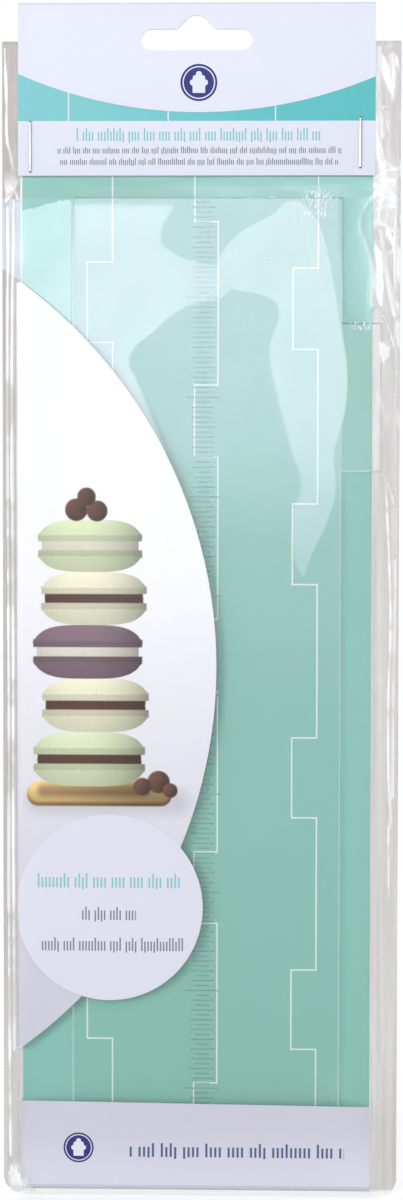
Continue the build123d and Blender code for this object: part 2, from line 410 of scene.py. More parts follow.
def make_patch_group():
    """Printed patch: a box with round corners, or a disc where its corner is its half width."""
    w, given, result = shader_group(
        "Printed patch",
        [("Centre X", 0), ("Centre Z", 0), ("Half Width", 1), ("Half Height", 1), ("Corner", 0), ("Edge", 0.05)],
        ["Mask", "Across", "Up"],
    )
    x, _, z = w.place_mm()
    across = w.minus(x, given["Centre X"])
    up = w.minus(z, given["Centre Z"])
    past_x = w.minus(w.size(across), w.minus(given["Half Width"], given["Corner"]))
    past_z = w.minus(w.size(up), w.minus(given["Half Height"], given["Corner"]))
    outside = w.length(w.either(past_x, 0.0), w.either(past_z, 0.0))
    inside = w.math("MINIMUM", w.either(past_x, past_z), 0.0)
    distance = w.minus(w.plus(outside, inside), given["Corner"])
    w.feed(result["Mask"], w.fall(w.over(distance, given["Edge"]), -1.0, 1.0))
    w.feed(result["Across"], w.over(across, given["Half Width"]))
    w.feed(result["Up"], w.over(up, given["Half Height"]))


def make_words_group():
    """Word row: thin upright strokes in groups, for words that are left out."""
    w, given, result = shader_group(
        "Word row",
        [("Left", -10), ("Right", 10), ("Middle", 0), ("Half Height", 1), ("Stroke Step", 0.6), ("Seed", 0)],
        ["Mask"],
    )
    strokes_in_word, gap_share, run_on, stroke_from, stroke_to = 5.0, 0.2, 0.25, 0.18, 0.66
    x, _, z = w.place_mm()
    steps = w.over(w.minus(x, given["Left"]), given["Stroke Step"])
    own = w.node("ShaderNodeTexWhiteNoise", noise_dimensions="1D")
    w.feed(own.inputs["W"], w.plus(w.math("FLOOR", steps), given["Seed"]))
    word = w.node("ShaderNodeTexWhiteNoise", noise_dimensions="1D")
    places = w.over(w.plus(steps, w.product(given["Seed"], 3.0)), strokes_in_word)
    w.feed(word.inputs["W"], w.math("FLOOR", places))
    at_gap = w.math("LESS_THAN", w.math("FRACT", places), gap_share)
    gap = w.product(at_gap, w.math("GREATER_THAN", word.outputs["Value"], run_on))
    stroke = w.between(w.math("FRACT", steps), stroke_from, stroke_to, 0.08)
    low_height, tail_depth = 0.45, 1.25
    tall = w.ramp(own.outputs["Value"], 0.7, 0.72, low_height, 1.0)
    deep = w.ramp(own.outputs["Value"], 0.10, 0.12, tail_depth, 1.0)
    head = w.plus(given["Middle"], w.product(given["Half Height"], tall))
    foot = w.minus(given["Middle"], w.product(given["Half Height"], deep))
    row = w.between(z, foot, head)
    w.feed(result["Mask"], w.product(w.rest(gap), stroke, row, w.between(x, given["Left"], given["Right"])))


def make_steps_group():
    """Stepped line: a thin line down the card that jogs aside and back."""
    w, given, result = shader_group(
        "Stepped line",
        [("Long X", 0), ("Short X", 0), ("Top", 0), ("Period", 60), ("Long Run", 40), ("Line Width", 0.4)],
        ["Mask"],
    )
    x, _, z = w.place_mm()
    half = w.product(given["Line Width"], 0.5)
    turns = w.math("FRACT", w.over(w.minus(given["Top"], z), given["Period"]))
    run = w.product(turns, given["Period"])
    on_long = w.math("LESS_THAN", run, given["Long Run"])
    side = w.minus(given["Long X"], given["Short X"])
    line = w.plus(given["Short X"], w.product(side, on_long))
    upright = w.math("LESS_THAN", w.size(w.minus(x, line)), half)
    middle = w.product(w.plus(given["Long X"], given["Short X"]), 0.5)
    reach = w.plus(w.product(w.size(side), 0.5), half)
    across = w.math("LESS_THAN", w.size(w.minus(x, middle)), reach)
    first_jog = w.math("LESS_THAN", run, given["Line Width"])
    second_jog = w.math("LESS_THAN", w.size(w.minus(run, given["Long Run"])), half)
    jog = w.product(across, w.either(first_jog, second_jog))
    w.feed(result["Mask"], w.either(upright, jog))


def make_biscuit_group():
    """Filled biscuit: two domes with frilled feet and a filling, seen from the side."""
    w, given, result = shader_group(
        "Filled biscuit",
        [("Centre X", 0), ("Centre Z", 0), ("Half Width", 15), ("Half Height", 7)],
        ["Dome", "Frill", "Filling", "Shade"],
    )
    x, _, z = w.place_mm()
    corner_power, crown_power, frill_from, filling_to = 3.6, 2.3, 0.40, 0.22
    wobble = w.minus(w.grain(1.3, 2.0), 0.5)
    across = w.over(w.minus(x, given["Centre X"]), given["Half Width"])
    up = w.over(w.minus(z, given["Centre Z"]), given["Half Height"])
    wide = w.plus(w.size(across), w.product(wobble, 0.035))
    high = w.size(up)
    round_off = w.plus(w.math("POWER", wide, corner_power), w.math("POWER", high, crown_power))
    dome = w.short_of(round_off, 1, 0.04)
    beyond_frill = w.past(w.plus(high, w.product(wobble, 0.12)), frill_from, 0.02)
    w.feed(result["Dome"], w.product(dome, beyond_frill))
    w.feed(result["Frill"], w.product(w.between(high, 0.17, 0.46, 0.03), w.fall(wide, 0.965, 0.995)))
    w.feed(result["Filling"], w.product(w.short_of(high, filling_to, 0.03), w.fall(wide, 0.90, 0.93)))
    turned = w.math("POWER", w.size(w.plus(across, 0.25)), 2.2)
    lit = w.minus(1.06, w.product(turned, 0.42))
    crown = w.ramp(up, -1.0, 0.9, 0.74, 1.1, smooth=False)
    grain = w.ramp(w.grain(2.2, 3.0, 0.7), 0.3, 0.7, 0.93, 1.06, smooth=False)
    w.feed(result["Shade"], w.product(lit, crown, grain))


def make_stock_group():
    """Card stock: cloudy tone and long fibres, as a shade factor and a height."""
    w, given, result = shader_group("Card stock", [("Strength", 0.03), ("Fibre", 1.2)], ["Shade", "Height"])
    cloud = w.grain(0.06, 3.0)
    fibres = w.grain(given["Fibre"], 4.0, 0.6, stretch=(1, 1, 0.25))
    cloud_share = 0.4
    mixed = w.plus(w.product(cloud, cloud_share), w.product(fibres, 1 - cloud_share))
    w.feed(result["Shade"], w.plus(1.0, w.product(w.minus(mixed, 0.5), given["Strength"])))
    w.feed(result["Height"], fibres)


def make_cut_group():
    """Cut edge: where a sheet shows its thickness and not its print."""
    w, given, result = shader_group("Cut edge", [("Lean", 0.6)], ["Edge", "Front", "Back"])
    ny = w.facing()[1]
    w.feed(result["Edge"], w.math("LESS_THAN", w.size(ny), given["Lean"]))
    w.feed(result["Front"], w.math("LESS_THAN", ny, w.math("MULTIPLY", given["Lean"], -1.0)))
    w.feed(result["Back"], w.math("GREATER_THAN", ny, given["Lean"]))


def make_handling_group():
    """Handling: uneven gloss and faint rubs along the sheet."""
    w, given, result = shader_group("Handling", [("Roughness", 0.3), ("Unevenness", 0.12)], ["Roughness", "Rubs"])
    smear = w.grain(0.09, 4.0, 0.6)
    rubs = w.grain(0.9, 3.0, 0.7, stretch=(6, 6, 0.12))
    uneven = w.product(w.minus(smear, 0.5), given["Unevenness"], 2.0)
    w.feed(result["Roughness"], w.math("ADD", given["Roughness"], uneven, clamp=True))
    w.feed(result["Rubs"], w.ramp(rubs, 0.62, 0.75))


GROUP_MAKERS = (
    make_patch_group, make_words_group, make_steps_group, make_biscuit_group, make_stock_group, make_cut_group,
    make_handling_group,
)


def make_groups():
    """Builds the shared shader groups once."""
    if "Printed patch" not in bpy.data.node_groups:
        for make_group in GROUP_MAKERS:
            make_group()


# Finishes


def new_material(name, preview):
    """An empty material with its wiring and its output's Surface."""
    make_groups()
    material = bpy.data.materials.new(name)
    material.use_nodes = True
    material.diffuse_color = (*preview, 1)
    material.node_tree.nodes.clear()
    wiring = Wiring(material.node_tree)
    surface = wiring.node("ShaderNodeOutputMaterial").inputs["Surface"]
    return material, wiring, surface


def opaque(w, surface, colour, roughness, normal=None, metallic=0.0, coat=0.0, coat_roughness=0.1, specular=0.5):
    """A solid finish on one Principled shader."""
    made = w.node("ShaderNodeBsdfPrincipled")
    w.fill(
        made,
        {
            "Base Color": colour, "Roughness": roughness, "Metallic": metallic, "Coat Weight": coat,
            "Coat Roughness": coat_roughness, "Specular IOR Level": specular,
        },
    )
    if normal is not None:
        w.feed(made.inputs["Normal"], normal)
    w.feed(surface, made.outputs[0])


def see_through(w, surface, colour, body, gloss, roughness, normal=None, shades=True):
    """A clear finish: body is how solid it is, and gloss how strongly it mirrors. Only faces that are seen
    from outside count, so a sheet's far side adds nothing. One that doesn't shade lets all light through."""
    front = w.rest(w.node("ShaderNodeNewGeometry").outputs["Backfacing"])
    if not shades:
        front = w.product(front, w.rest(w.node("ShaderNodeLightPath").outputs["Is Shadow Ray"]))
    clear = w.node("ShaderNodeBsdfTransparent")
    mirror = w.node("ShaderNodeBsdfAnisotropic")
    w.feed(mirror.inputs["Roughness"], roughness)
    solid = w.node("ShaderNodeBsdfPrincipled")
    solid_roughness, solid_specular, plastic_ior = 0.6, 0.05, 1.5
    w.fill(solid, {"Base Color": colour, "Roughness": solid_roughness, "Specular IOR Level": solid_specular})
    fresnel = w.node("ShaderNodeFresnel")
    w.feed(fresnel.inputs["IOR"], plastic_ior)
    if normal is not None:
        for made in (mirror, solid, fresnel):
            w.feed(made.inputs["Normal"], normal)
    pane = w.mix_shaders(w.product(fresnel.outputs[0], gloss, front), clear, mirror)
    w.feed(surface, w.mix_shaders(w.product(body, front), pane, solid).outputs[0])


def varnished(w, surface, colour, roughness=0.42, fibre=0.02 * MM):
    """Printed card under a thin varnish."""
    stock = w.use("Card stock", Strength=0.05, Fibre=1.4)
    handling = w.use("Handling", Roughness=roughness, Unevenness=0.1)
    colour = w.shade(colour, stock["Shade"])
    normal = w.bump(w.plus(stock["Height"], w.product(handling["Rubs"], 0.3)), fibre, 0.5)
    opaque(w, surface, colour, handling["Roughness"], normal, coat=0.02, coat_roughness=0.2, specular=0.15)


def print_badge(w, colour, ink, paper, x, z, radius):
    """A round badge with a plain cupcake shape in it."""
    unit = radius / 10
    rim, ring_outside, ring_inside = 10, 8.8, 8.2
    disc, ring, core = (w.patch(x, z, part * unit, part * unit)["Mask"] for part in (rim, ring_outside, ring_inside))
    colour = w.blend(disc, colour, ink)
    colour = w.blend(w.product(ring, w.rest(core)), colour, paper)
    case, swirl_foot, swirl_middle, swirl_top = (
        (-3.3, 3.4, 2.3, 0.5), (0.0, 4.9, 1.7, 1.7), (2.4, 3.4, 1.6, 1.6), (4.6, 1.6, 1.5, 1.5),
    )
    for up, half_width, half_height, corner in (case, swirl_foot, swirl_middle, swirl_top):
        shape = w.patch(x, z + up * unit, half_width * unit, half_height * unit, corner * unit)
        colour = w.blend(shape["Mask"], colour, paper)
    return colour


def print_rows(w, colour, rows, strength):
    """Rows for words, each given as left, right, middle, half height, step of its strokes, seed and ink."""
    for left, right, middle, half, step, seed, row_ink in rows:
        row = w.use("Word row", Left=left, Right=right, Middle=middle, Half_Height=half, Stroke_Step=step, Seed=seed)
        colour = w.blend(w.product(row["Mask"], strength), colour, row_ink)
    return colour


def header_finish(ink):
    """White header with a band in two greens under a wide arc, one badge and rows for its words."""
    material, w, surface = new_material("header_print", ink.header_white)
    x, y, z = w.place_mm()
    arc_x, arc_z, arc_radius = 0.9, 90.95, 115.4
    reach = w.length(w.minus(x, arc_x), w.minus(z, arc_z))
    below_arc = w.past(reach, arc_radius, 0.05)
    band_foot, line_half, low_white = -26.7, 0.16, 0.95
    band = w.product(below_arc, w.past(z, band_foot, 0.05))
    band_ink = w.blend(w.ramp(x, -45.0, 30.0), ink.sea, ink.sea_deep)
    colour = w.blend(w.ramp(z, -42.0, -8.0), w.shade(ink.header_white, low_white), ink.header_white)
    colour = w.blend(band, colour, band_ink)
    for line_x in (-32.6, -7.2, 20.1):
        line = w.between(x, line_x - line_half, line_x + line_half)
        colour = w.blend(w.product(band, line), colour, ink.header_white)
    rows = (
        (-30.7, 31.7, -30.1, 1.6, 0.78, 3.0, ink.sea_deep),
        (-35.5, 36.8, -34.05, 0.85, 0.50, 11.0, ink.grey_ink),
        (-34.8, 36.0, -36.95, 0.85, 0.50, 27.0, ink.grey_ink),
    )
    colour = print_rows(w, colour, rows, 0.85)
    colour = print_badge(w, colour, ink.navy, ink.header_white, 0.6, -17.0, 4.7)
    cut = w.use("Cut edge")
    bend_foot, front_leaf = 2.4, -0.2
    cut_below_bend = w.product(cut["Edge"], w.fall(z, bend_foot, bend_foot + 0.1))
    on_front = w.product(w.short_of(y, front_leaf, 0.05), w.rest(cut_below_bend))
    colour = w.blend(on_front, ink.board, colour)
    varnished(w, surface, colour, roughness=0.38)
    return material


def insert_finish(ink):
    """Mint insert with three thin stepped lines, white round its folds and bare on its back."""
    material, w, surface = new_material("insert_print", ink.mint)
    x, _, z = w.place_mm()
    mint_foot, mint_full, line_width, line_strength = -285.0, -60.0, 0.36, 0.8
    colour = w.blend(w.ramp(z, mint_foot, mint_full), ink.mint, ink.mint_top)
    lines = (
        (-21.4, -27.9, -22.9, 59.8, 39.5),
        (5.6, -0.4, -52.0, 60.0, 41.7),
        (31.1, 24.7, -24.4, 60.05, 39.6),
    )
    for long_x, short_x, top, period, long_run in lines:
        line = w.use(
            "Stepped line", Long_X=long_x, Short_X=short_x, Top=top, Period=period, Long_Run=long_run,
            Line_Width=line_width,
        )
        colour = w.blend(w.product(line["Mask"], line_strength), colour, ink.flap_white)
    cut = w.use("Cut edge")
    for bare in ("Edge", "Back"):
        colour = w.blend(cut[bare], colour, ink.board)
    side_fold = w.short_of(x, CREASE_X, 0.05)
    foot_fold = w.short_of(z, CREASE_Z, 0.05)
    outside = w.math("GREATER_THAN", w.either(side_fold, foot_fold), 0.5)
    fold_colour = print_disc(w, flap_ground(w, z, ink))
    colour = w.blend(outside, colour, fold_colour)
    varnished(w, surface, colour)
    return material


def print_round(w, colour, x, z, half_width, half_height, tone, edge=0.25):
    """A printed round or oval spot, lit from its upper left."""
    spot = w.patch(x, z, half_width, half_height, edge=edge)
    sideways = w.ramp(spot["Across"], -0.9, 0.9, 1.35, 0.6)
    upward = w.ramp(spot["Up"], -1.0, 1.0, 0.7, 1.25)
    return w.blend(spot["Mask"], colour, w.shade(tone, w.product(sideways, upward)))


def print_picture(w, colour):
    """A stack of filled biscuits and a few truffles on a gilt stand."""
    shadow_tone = (0.30, 0.28, 0.32)
    gilt_rim, gilt, gilt_hollow = (0.26, 0.16, 0.06), (0.58, 0.41, 0.17), (0.30, 0.19, 0.09)
    cream, green, mauve = (0.80, 0.79, 0.60), (0.66, 0.74, 0.50), (0.22, 0.145, 0.185)
    brown, pale = (0.10, 0.048, 0.034), (0.74, 0.70, 0.60)
    truffle, truffle_below = (0.10, 0.045, 0.03), (0.12, 0.055, 0.038)
    frill_tone = 0.80
    shadow = w.patch(-22.5, -200.5, 21.0, 3.2, edge=2.6)
    colour = w.blend(w.product(shadow["Mask"], 0.35), colour, shadow_tone)
    colour = print_round(w, colour, -24.6, -198.8, 18.6, 2.9, gilt_rim)
    colour = print_round(w, colour, -24.6, -198.0, 18.4, 2.7, gilt, 0.5)
    colour = print_round(w, colour, -26.0, -197.6, 14.5, 1.6, gilt_hollow, 1.2)
    levels = (
        (-27.2, -189.6, 14.6, 7.0, green, brown), (-25.6, -175.7, 14.0, 6.9, cream, brown),
        (-27.6, -162.0, 14.3, 6.9, mauve, pale), (-26.0, -148.3, 13.8, 6.8, cream, brown),
        (-27.0, -134.8, 13.6, 6.7, green, pale),
    )
    for x, z, half_width, half_height, shell, filling in levels:
        biscuit = w.use(
            "Filled biscuit", Centre_X=x, Centre_Z=z, Half_Width=half_width, Half_Height=half_height
        )
        lit = biscuit["Shade"]
        colour = w.blend(biscuit["Filling"], colour, w.shade(filling, lit))
        colour = w.blend(biscuit["Frill"], colour, w.shade(w.shade(shell, frill_tone), lit))
        colour = w.blend(biscuit["Dome"], colour, w.shade(shell, lit))
    truffles = (
        (-30.5, -125.6, 2.9, truffle), (-25.2, -125.9, 2.7, truffle), (-27.9, -122.3, 2.4, truffle),
        (-9.4, -195.4, 2.9, truffle_below), (-13.6, -196.6, 2.3, truffle_below), (-6.4, -197.6, 1.9, truffle_below),
    )
    for x, z, radius, tone in truffles:
        colour = print_round(w, colour, x, z, radius, radius, tone)
    return colour


def flap_ground(w, z, ink):
    """The side flap's white, which greys from its middle down."""
    grey_foot, white_top = -262.0, -112.0
    return w.blend(w.ramp(z, grey_foot, white_top), ink.flap_grey, ink.flap_white)


def print_disc(w, colour):
    """The flap's paler disc, with a painted shadow round it: a soft darker ring, set a little low."""
    shadow_drop, shadow_width, disc_shadow_tone, disc_tone = 0.3, 0.7, (0.35, 0.35, 0.42), (0.74, 0.745, 0.86)
    shadow_radius = DISC_RADIUS + shadow_width
    disc_shadow = w.patch(DISC_X, DISC_Z - shadow_drop, shadow_radius, shadow_radius, edge=1.0)
    disc = w.patch(DISC_X, DISC_Z, DISC_RADIUS, DISC_RADIUS, edge=0.12)
    # Painted shadow: a soft darker ring round the disc, set a little low
    colour = w.blend(w.product(disc_shadow["Mask"], 0.10), colour, disc_shadow_tone)
    return w.blend(disc["Mask"], colour, disc_tone)


def on_front_only(w, ink, colour):
    """The print on faces that look forward, and bare board on the others."""
    return w.blend(w.use("Cut edge")["Front"], ink.board, colour)


def side_flap_finish(ink):
    """White side flap that greys towards its foot, with a picture and a paler disc with rows for its words."""
    material, w, surface = new_material("side_flap_print", ink.flap_white)
    z = w.place_mm()[2]
    colour = print_disc(w, print_picture(w, flap_ground(w, z, ink)))
    rows = (
        (-41.6, -3.6, -220.9, 1.85, 0.95, 5.0, ink.sea_deep),
        (-29.2, -15.2, -229.4, 1.7, 0.8, 14.0, ink.grey_ink),
        (-39.6, -3.0, -237.4, 1.7, 0.8, 33.0, ink.grey_ink),
    )
    colour = print_rows(w, colour, rows, 0.8)
    varnished(w, surface, on_front_only(w, ink, colour))
    return material


def bottom_flap_finish(ink):
    """Grey-white bottom band with one badge and a row for its words."""
    material, w, surface = new_material("bottom_flap_print", ink.flap_grey)
    z = w.place_mm()[2]
    # Painted light: the band is lighter towards its foot
    lit_foot, grey_from, lit = -300.0, -282.0, 1.16
    colour = w.blend(w.ramp(z, lit_foot, grey_from), w.shade(ink.flap_grey, lit), ink.flap_grey)
    colour = print_badge(w, colour, ink.navy, (0.80, 0.80, 0.88), -30.0, -290.3, 3.9)
    colour = print_rows(w, colour, ((-17.0, 38.5, -290.8, 1.8, 1.15, 8.0, ink.navy),), 0.9)
    varnished(w, surface, on_front_only(w, ink, colour))
    return material


def plate_finish(plate):
    """Clear moulded plastic: near invisible faces; a rim with painted light and shade, a painted highlight where it
    faces right and down and painted shade where it faces left and up, darker along the top; and painted shade in the
    ruler's sunk marks and on the face round them."""
    material, w, surface = new_material("clear_plate_plastic", plate.edge_highlight)
    x, y, z = w.place_mm()
    nx, ny, nz = w.facing()
    front_lean, wall_lean, bevel_mm, mark_mm = -0.95, 0.2, 0.5, 0.2
    marks_left, marks_right, face_tone, far_highlight_tone = -5.0, 9.0, (0.80, 0.93, 0.93), 0.8
    front = w.math("LESS_THAN", ny, front_lean)
    sunk = w.product(front, w.ramp(y, PLATE["front"] + 0.04, PLATE["front"] + 0.08))
    slant = w.between(ny, front_lean, -wall_lean, 0.05)
    wall = w.math("LESS_THAN", w.size(ny), wall_lean)
    shallow = w.fall(y, PLATE["front"] + mark_mm, PLATE["front"] + 0.3)
    mark_wall = w.product(wall, w.between(x, marks_left, marks_right), shallow)
    deep = w.ramp(y, PLATE["front"], PLATE["front"] + bevel_mm)
    inner = w.ramp(deep, 0.45, 0.6)
    # Painted light and shade on the rim by the way each face points: bright facing right and down, dim facing left
    # and up, the other tone deeper in
    away = w.ramp(w.minus(nx, nz), -0.3, 0.3)
    inner_highlight = w.blend(inner, plate.edge_highlight, plate.edge_shade)
    inner_shade = w.blend(inner, plate.edge_shade, w.shade(plate.edge_highlight, far_highlight_tone))
    haze_and_painted_reflection = w.grain(0.035, 3.0)
    handling = w.use("Handling", Roughness=0.09, Unevenness=0.05)
    # Painted shade in the sunk marks and on the face round them
    mark = w.either(sunk, mark_wall, w.product(front, ruler_mark_shade(w, x, z)))
    colour = w.blend(away, inner_shade, inner_highlight)
    # Painted shade on faces that point up, along the top rim
    colour = w.blend(w.ramp(nz, 0.15, 0.35), colour, plate.top_edge_shade)
    colour = w.blend(front, colour, face_tone)
    colour = w.blend(mark, colour, plate.mark_shade_colour)
    face = w.plus(plate.face_body, w.product(haze_and_painted_reflection, 0.01))
    edge_slant, edge_wall = w.product(slant, plate.edge_body), w.product(wall, plate.edge_body, 0.6)
    body = w.either(face, edge_slant, edge_wall, w.product(mark, plate.mark_body))
    normal = w.bump(w.product(handling["Rubs"], 0.02), 0.3 * MM, 0.15, flat=True)
    see_through(w, surface, colour, body, 0.15, handling["Roughness"], normal)
    return material


def ruler_mark_shade(w, x, z):
    """Painted shade on the flat face round the ruler's marks, which makes each look wider: twenty to the inch, each
    second and each twentieth longer.
    """
    counted = w.over(w.minus(PLATE["top"], z), MARK_STEP)
    number = w.math("ROUND", counted)
    apart = w.product(w.size(w.minus(counted, number)), MARK_STEP)
    tenth = w.math("LESS_THAN", w.math("FRACT", w.plus(w.product(number, 0.5), 0.1)), 0.2)
    inch = w.math("LESS_THAN", w.math("FRACT", w.plus(w.product(number, 0.05), 0.01)), 0.02)
    tenth_more, inch_more, mark_core, shade_end, strength = 1.15, 1.5, 0.14, 0.32, 0.85
    half = w.plus(FINE_HALF, w.plus(w.product(tenth, tenth_more), w.product(inch, inch_more)))
    past_end = w.minus(w.size(w.minus(x, RULER_X)), half)
    counted_in = w.between(number, 0.5, 199.5)
    return w.product(w.fall(apart, mark_core, shade_end), w.short_of(past_end, 0, 0.1), counted_in, strength)


def film_finish(film, name, is_front):
    """Clear film with painted light: painted highlights along its folds, where sharp creases also whiten, and on
    crumpled facets; painted shade beside the folds and on other facets; a real gloss and a painted reflection where
    it lies against the plate and on the card beside and above it; a painted shadow under the header's foot; and grey
    painted shade where it lies double beside the card."""
    foot_body, card_gloss, margin_gloss, shine_roughness = 0.12, 0.15, 0.35, 0.12
    # The first two values are the tone and the body of the painted shadow under the header
    header_shadow_tone, header_shadow_body, fold_body, patch_body, glint_body = (0.12, 0.20, 0.19), 0.4, 0.32, 0.6, 0.92
    crinkle_depth, card_crinkle = 0.12 * MM, 0.025
    material, w, surface = new_material(name, film.plate_reflection_colour)
    x, _, z = w.place_mm()
    fold, facet, crumple = w.attribute("fold"), w.attribute("facet"), w.attribute("crumple")
    streaks = w.grain(0.6, 2.0, 0.5, stretch=(1, 1, 0.02))
    cloud = w.grain(0.05, 3.0, 0.5)
    above_foot = w.past(z, CARD["foot"], 0.2)
    beside_fold = w.between(z, SIDE_FLAP["foot"], SIDE_FLAP["top"], 0.2)
    card_left = w.ramp(beside_fold, 0.0, 1.0, CREASE_X - 0.4, CARD["left"] + 0.3, smooth=False)
    inside = w.product(
        w.ramp(w.minus(x, card_left), -0.2, 0.2), w.short_of(x, CARD_SIDE, 0.2),
        above_foot,
    )
    margin = w.rest(inside)

    def by_margin(over_card, beside_card):
        return w.ramp(margin, 0.0, 1.0, over_card, beside_card)

    # Painted shade: the film beside the card, where it lies double, is grey, more so at the left and less at its foot
    at_left = w.product(w.ramp(x, -45.0, -40.0, 0.18, 0.0), w.ramp(z, -270.0, -225.0, 0.4, 1.0))
    shaded = w.plus(w.ramp(streaks, 0.3, 0.7, 0.22, 0.34), at_left)
    body = w.plus(film.body, w.product(margin, shaded, w.ramp(above_foot, 0.0, 1.0, foot_body, 1.0)))
    colour = film.margin_shade_colour
    gloss = w.ramp(margin, 0.0, 1.0, card_gloss, margin_gloss, smooth=False)
    shine = 0.0
    if is_front:
        # Painted reflection: pale tints over the upper plate and on the card beside and above it, with a real gloss
        # there
        shine, painted_reflection, card_reflection = film_painted_reflection(w, x, z, cloud)
        card_reflection = w.product(card_reflection, inside)
        gloss = w.either(gloss, w.product(shine, film.reflection_gloss))
        body = w.either(body, w.product(painted_reflection, film.haze_and_painted_reflection), w.product(card_reflection, film.card_reflection))
        colour = w.blend(w.ramp(painted_reflection, 0.02, 0.15), colour, film.plate_reflection_colour)
        colour = w.blend(w.ramp(card_reflection, 0.05, 0.2), colour, film.card_reflection_colour)
        # Painted shadow: a dark line on the film along the header's foot
        header_shadow = w.product(w.between(z, HEADER["foot"] - 0.5, HEADER["foot"] + 0.1, 0.12), inside)
        colour, body = w.lay((colour, body), header_shadow, header_shadow_tone, w.product(header_shadow, header_shadow_body))
    look = (colour, body)
    # Painted shade: grey bands beside each fold where the film lies beside the card
    fold_shade = w.product(w.between(fold, 0.06, 0.34, 0.06), margin, fold_body)
    look = w.lay(look, w.product(fold_shade, 2.0), film.margin_shade_colour, fold_shade)
    # Painted highlights: crumpled facets picked at random turn white
    lit_facet = w.product(crumple, w.ramp(facet, 0.35, 0.8))
    look = w.lay(look, lit_facet, film.glint_colour, w.product(lit_facet, by_margin(0.3, 0.8)))
    # Painted highlight: broad soft white patches in the right margin
    highlight_patch = w.product(
        margin, w.ramp(x, CARD_SIDE, CARD_SIDE + 0.6), w.ramp(z, -112.0, -84.0),
        w.ramp(w.strokes(x, z, -0.18, 2.6, 12.0), 0.54, 0.66),
    )
    colour, body = w.lay(look, w.product(highlight_patch, 2.0), film.glint_colour, w.product(highlight_patch, patch_body))
    # Painted shade: the darker crumpled facets, picked at random, are made more solid
    shaded_facet = w.product(crumple, w.fall(facet, 0.1, 0.3))
    body = w.either(body, w.product(shaded_facet, by_margin(0.12, 0.40)))
    # Painted highlights along the folds, where sharp creases also whiten, and over the plate's corner, tab foot and
    # top edge
    glint = w.product(w.ramp(fold, 0.2, 0.65), w.ramp(streaks, 0.3, 0.55, 0.6, 1.0), by_margin(0.68, 1.0))
    if is_front:
        glint = w.either(glint, film_edge_glints(w, x, z))
    colour, body = w.lay((colour, body), glint, film.glint_colour, w.product(glint, glint_body))
    crinkle = w.grain(0.22, 4.0, 0.55, stretch=(1, 1, 0.6))
    handling = w.use("Handling", Roughness=0.10, Unevenness=0.05)
    rough = w.plus(crinkle, w.product(streaks, margin, 0.4))
    normal = w.bump(rough, crinkle_depth, by_margin(card_crinkle, 1.0))
    roughness = w.plus(handling["Roughness"], w.product(shine, shine_roughness))
    see_through(w, surface, colour, body, gloss, roughness, normal, shades=False)
    return material


def film_edge_glints(w, x, z):
    """Painted highlights: short white glints on the film over the plate's upper corner, its tab's foot and its top
    edge.
    """

    def spot(left, right, soft_x, foot, top, soft_z, strength):
        return w.product(w.between(x, left, right, soft_x), w.between(z, foot, top, soft_z), strength)

    corner = spot(26.0, 34.9, 2.5, -52.0, -44.2, 1.6, 0.9)
    tab_foot = spot(38.4, 44.8, 0.8, -80.0, -77.4, 0.5, 0.9)
    plate_top = spot(-8.0, 36.0, 2.0, -46.6, -45.8, 0.15, 0.55)
    slant = w.ramp(w.strokes(x, z, 0.35, 0.42, 1.6), 0.52, 0.60)
    level = w.ramp(w.strokes(x, z, 0.02, 2.2, 0.5), 0.50, 0.60)
    return w.either(w.product(slant, w.either(corner, tab_foot)), w.product(level, plate_top))


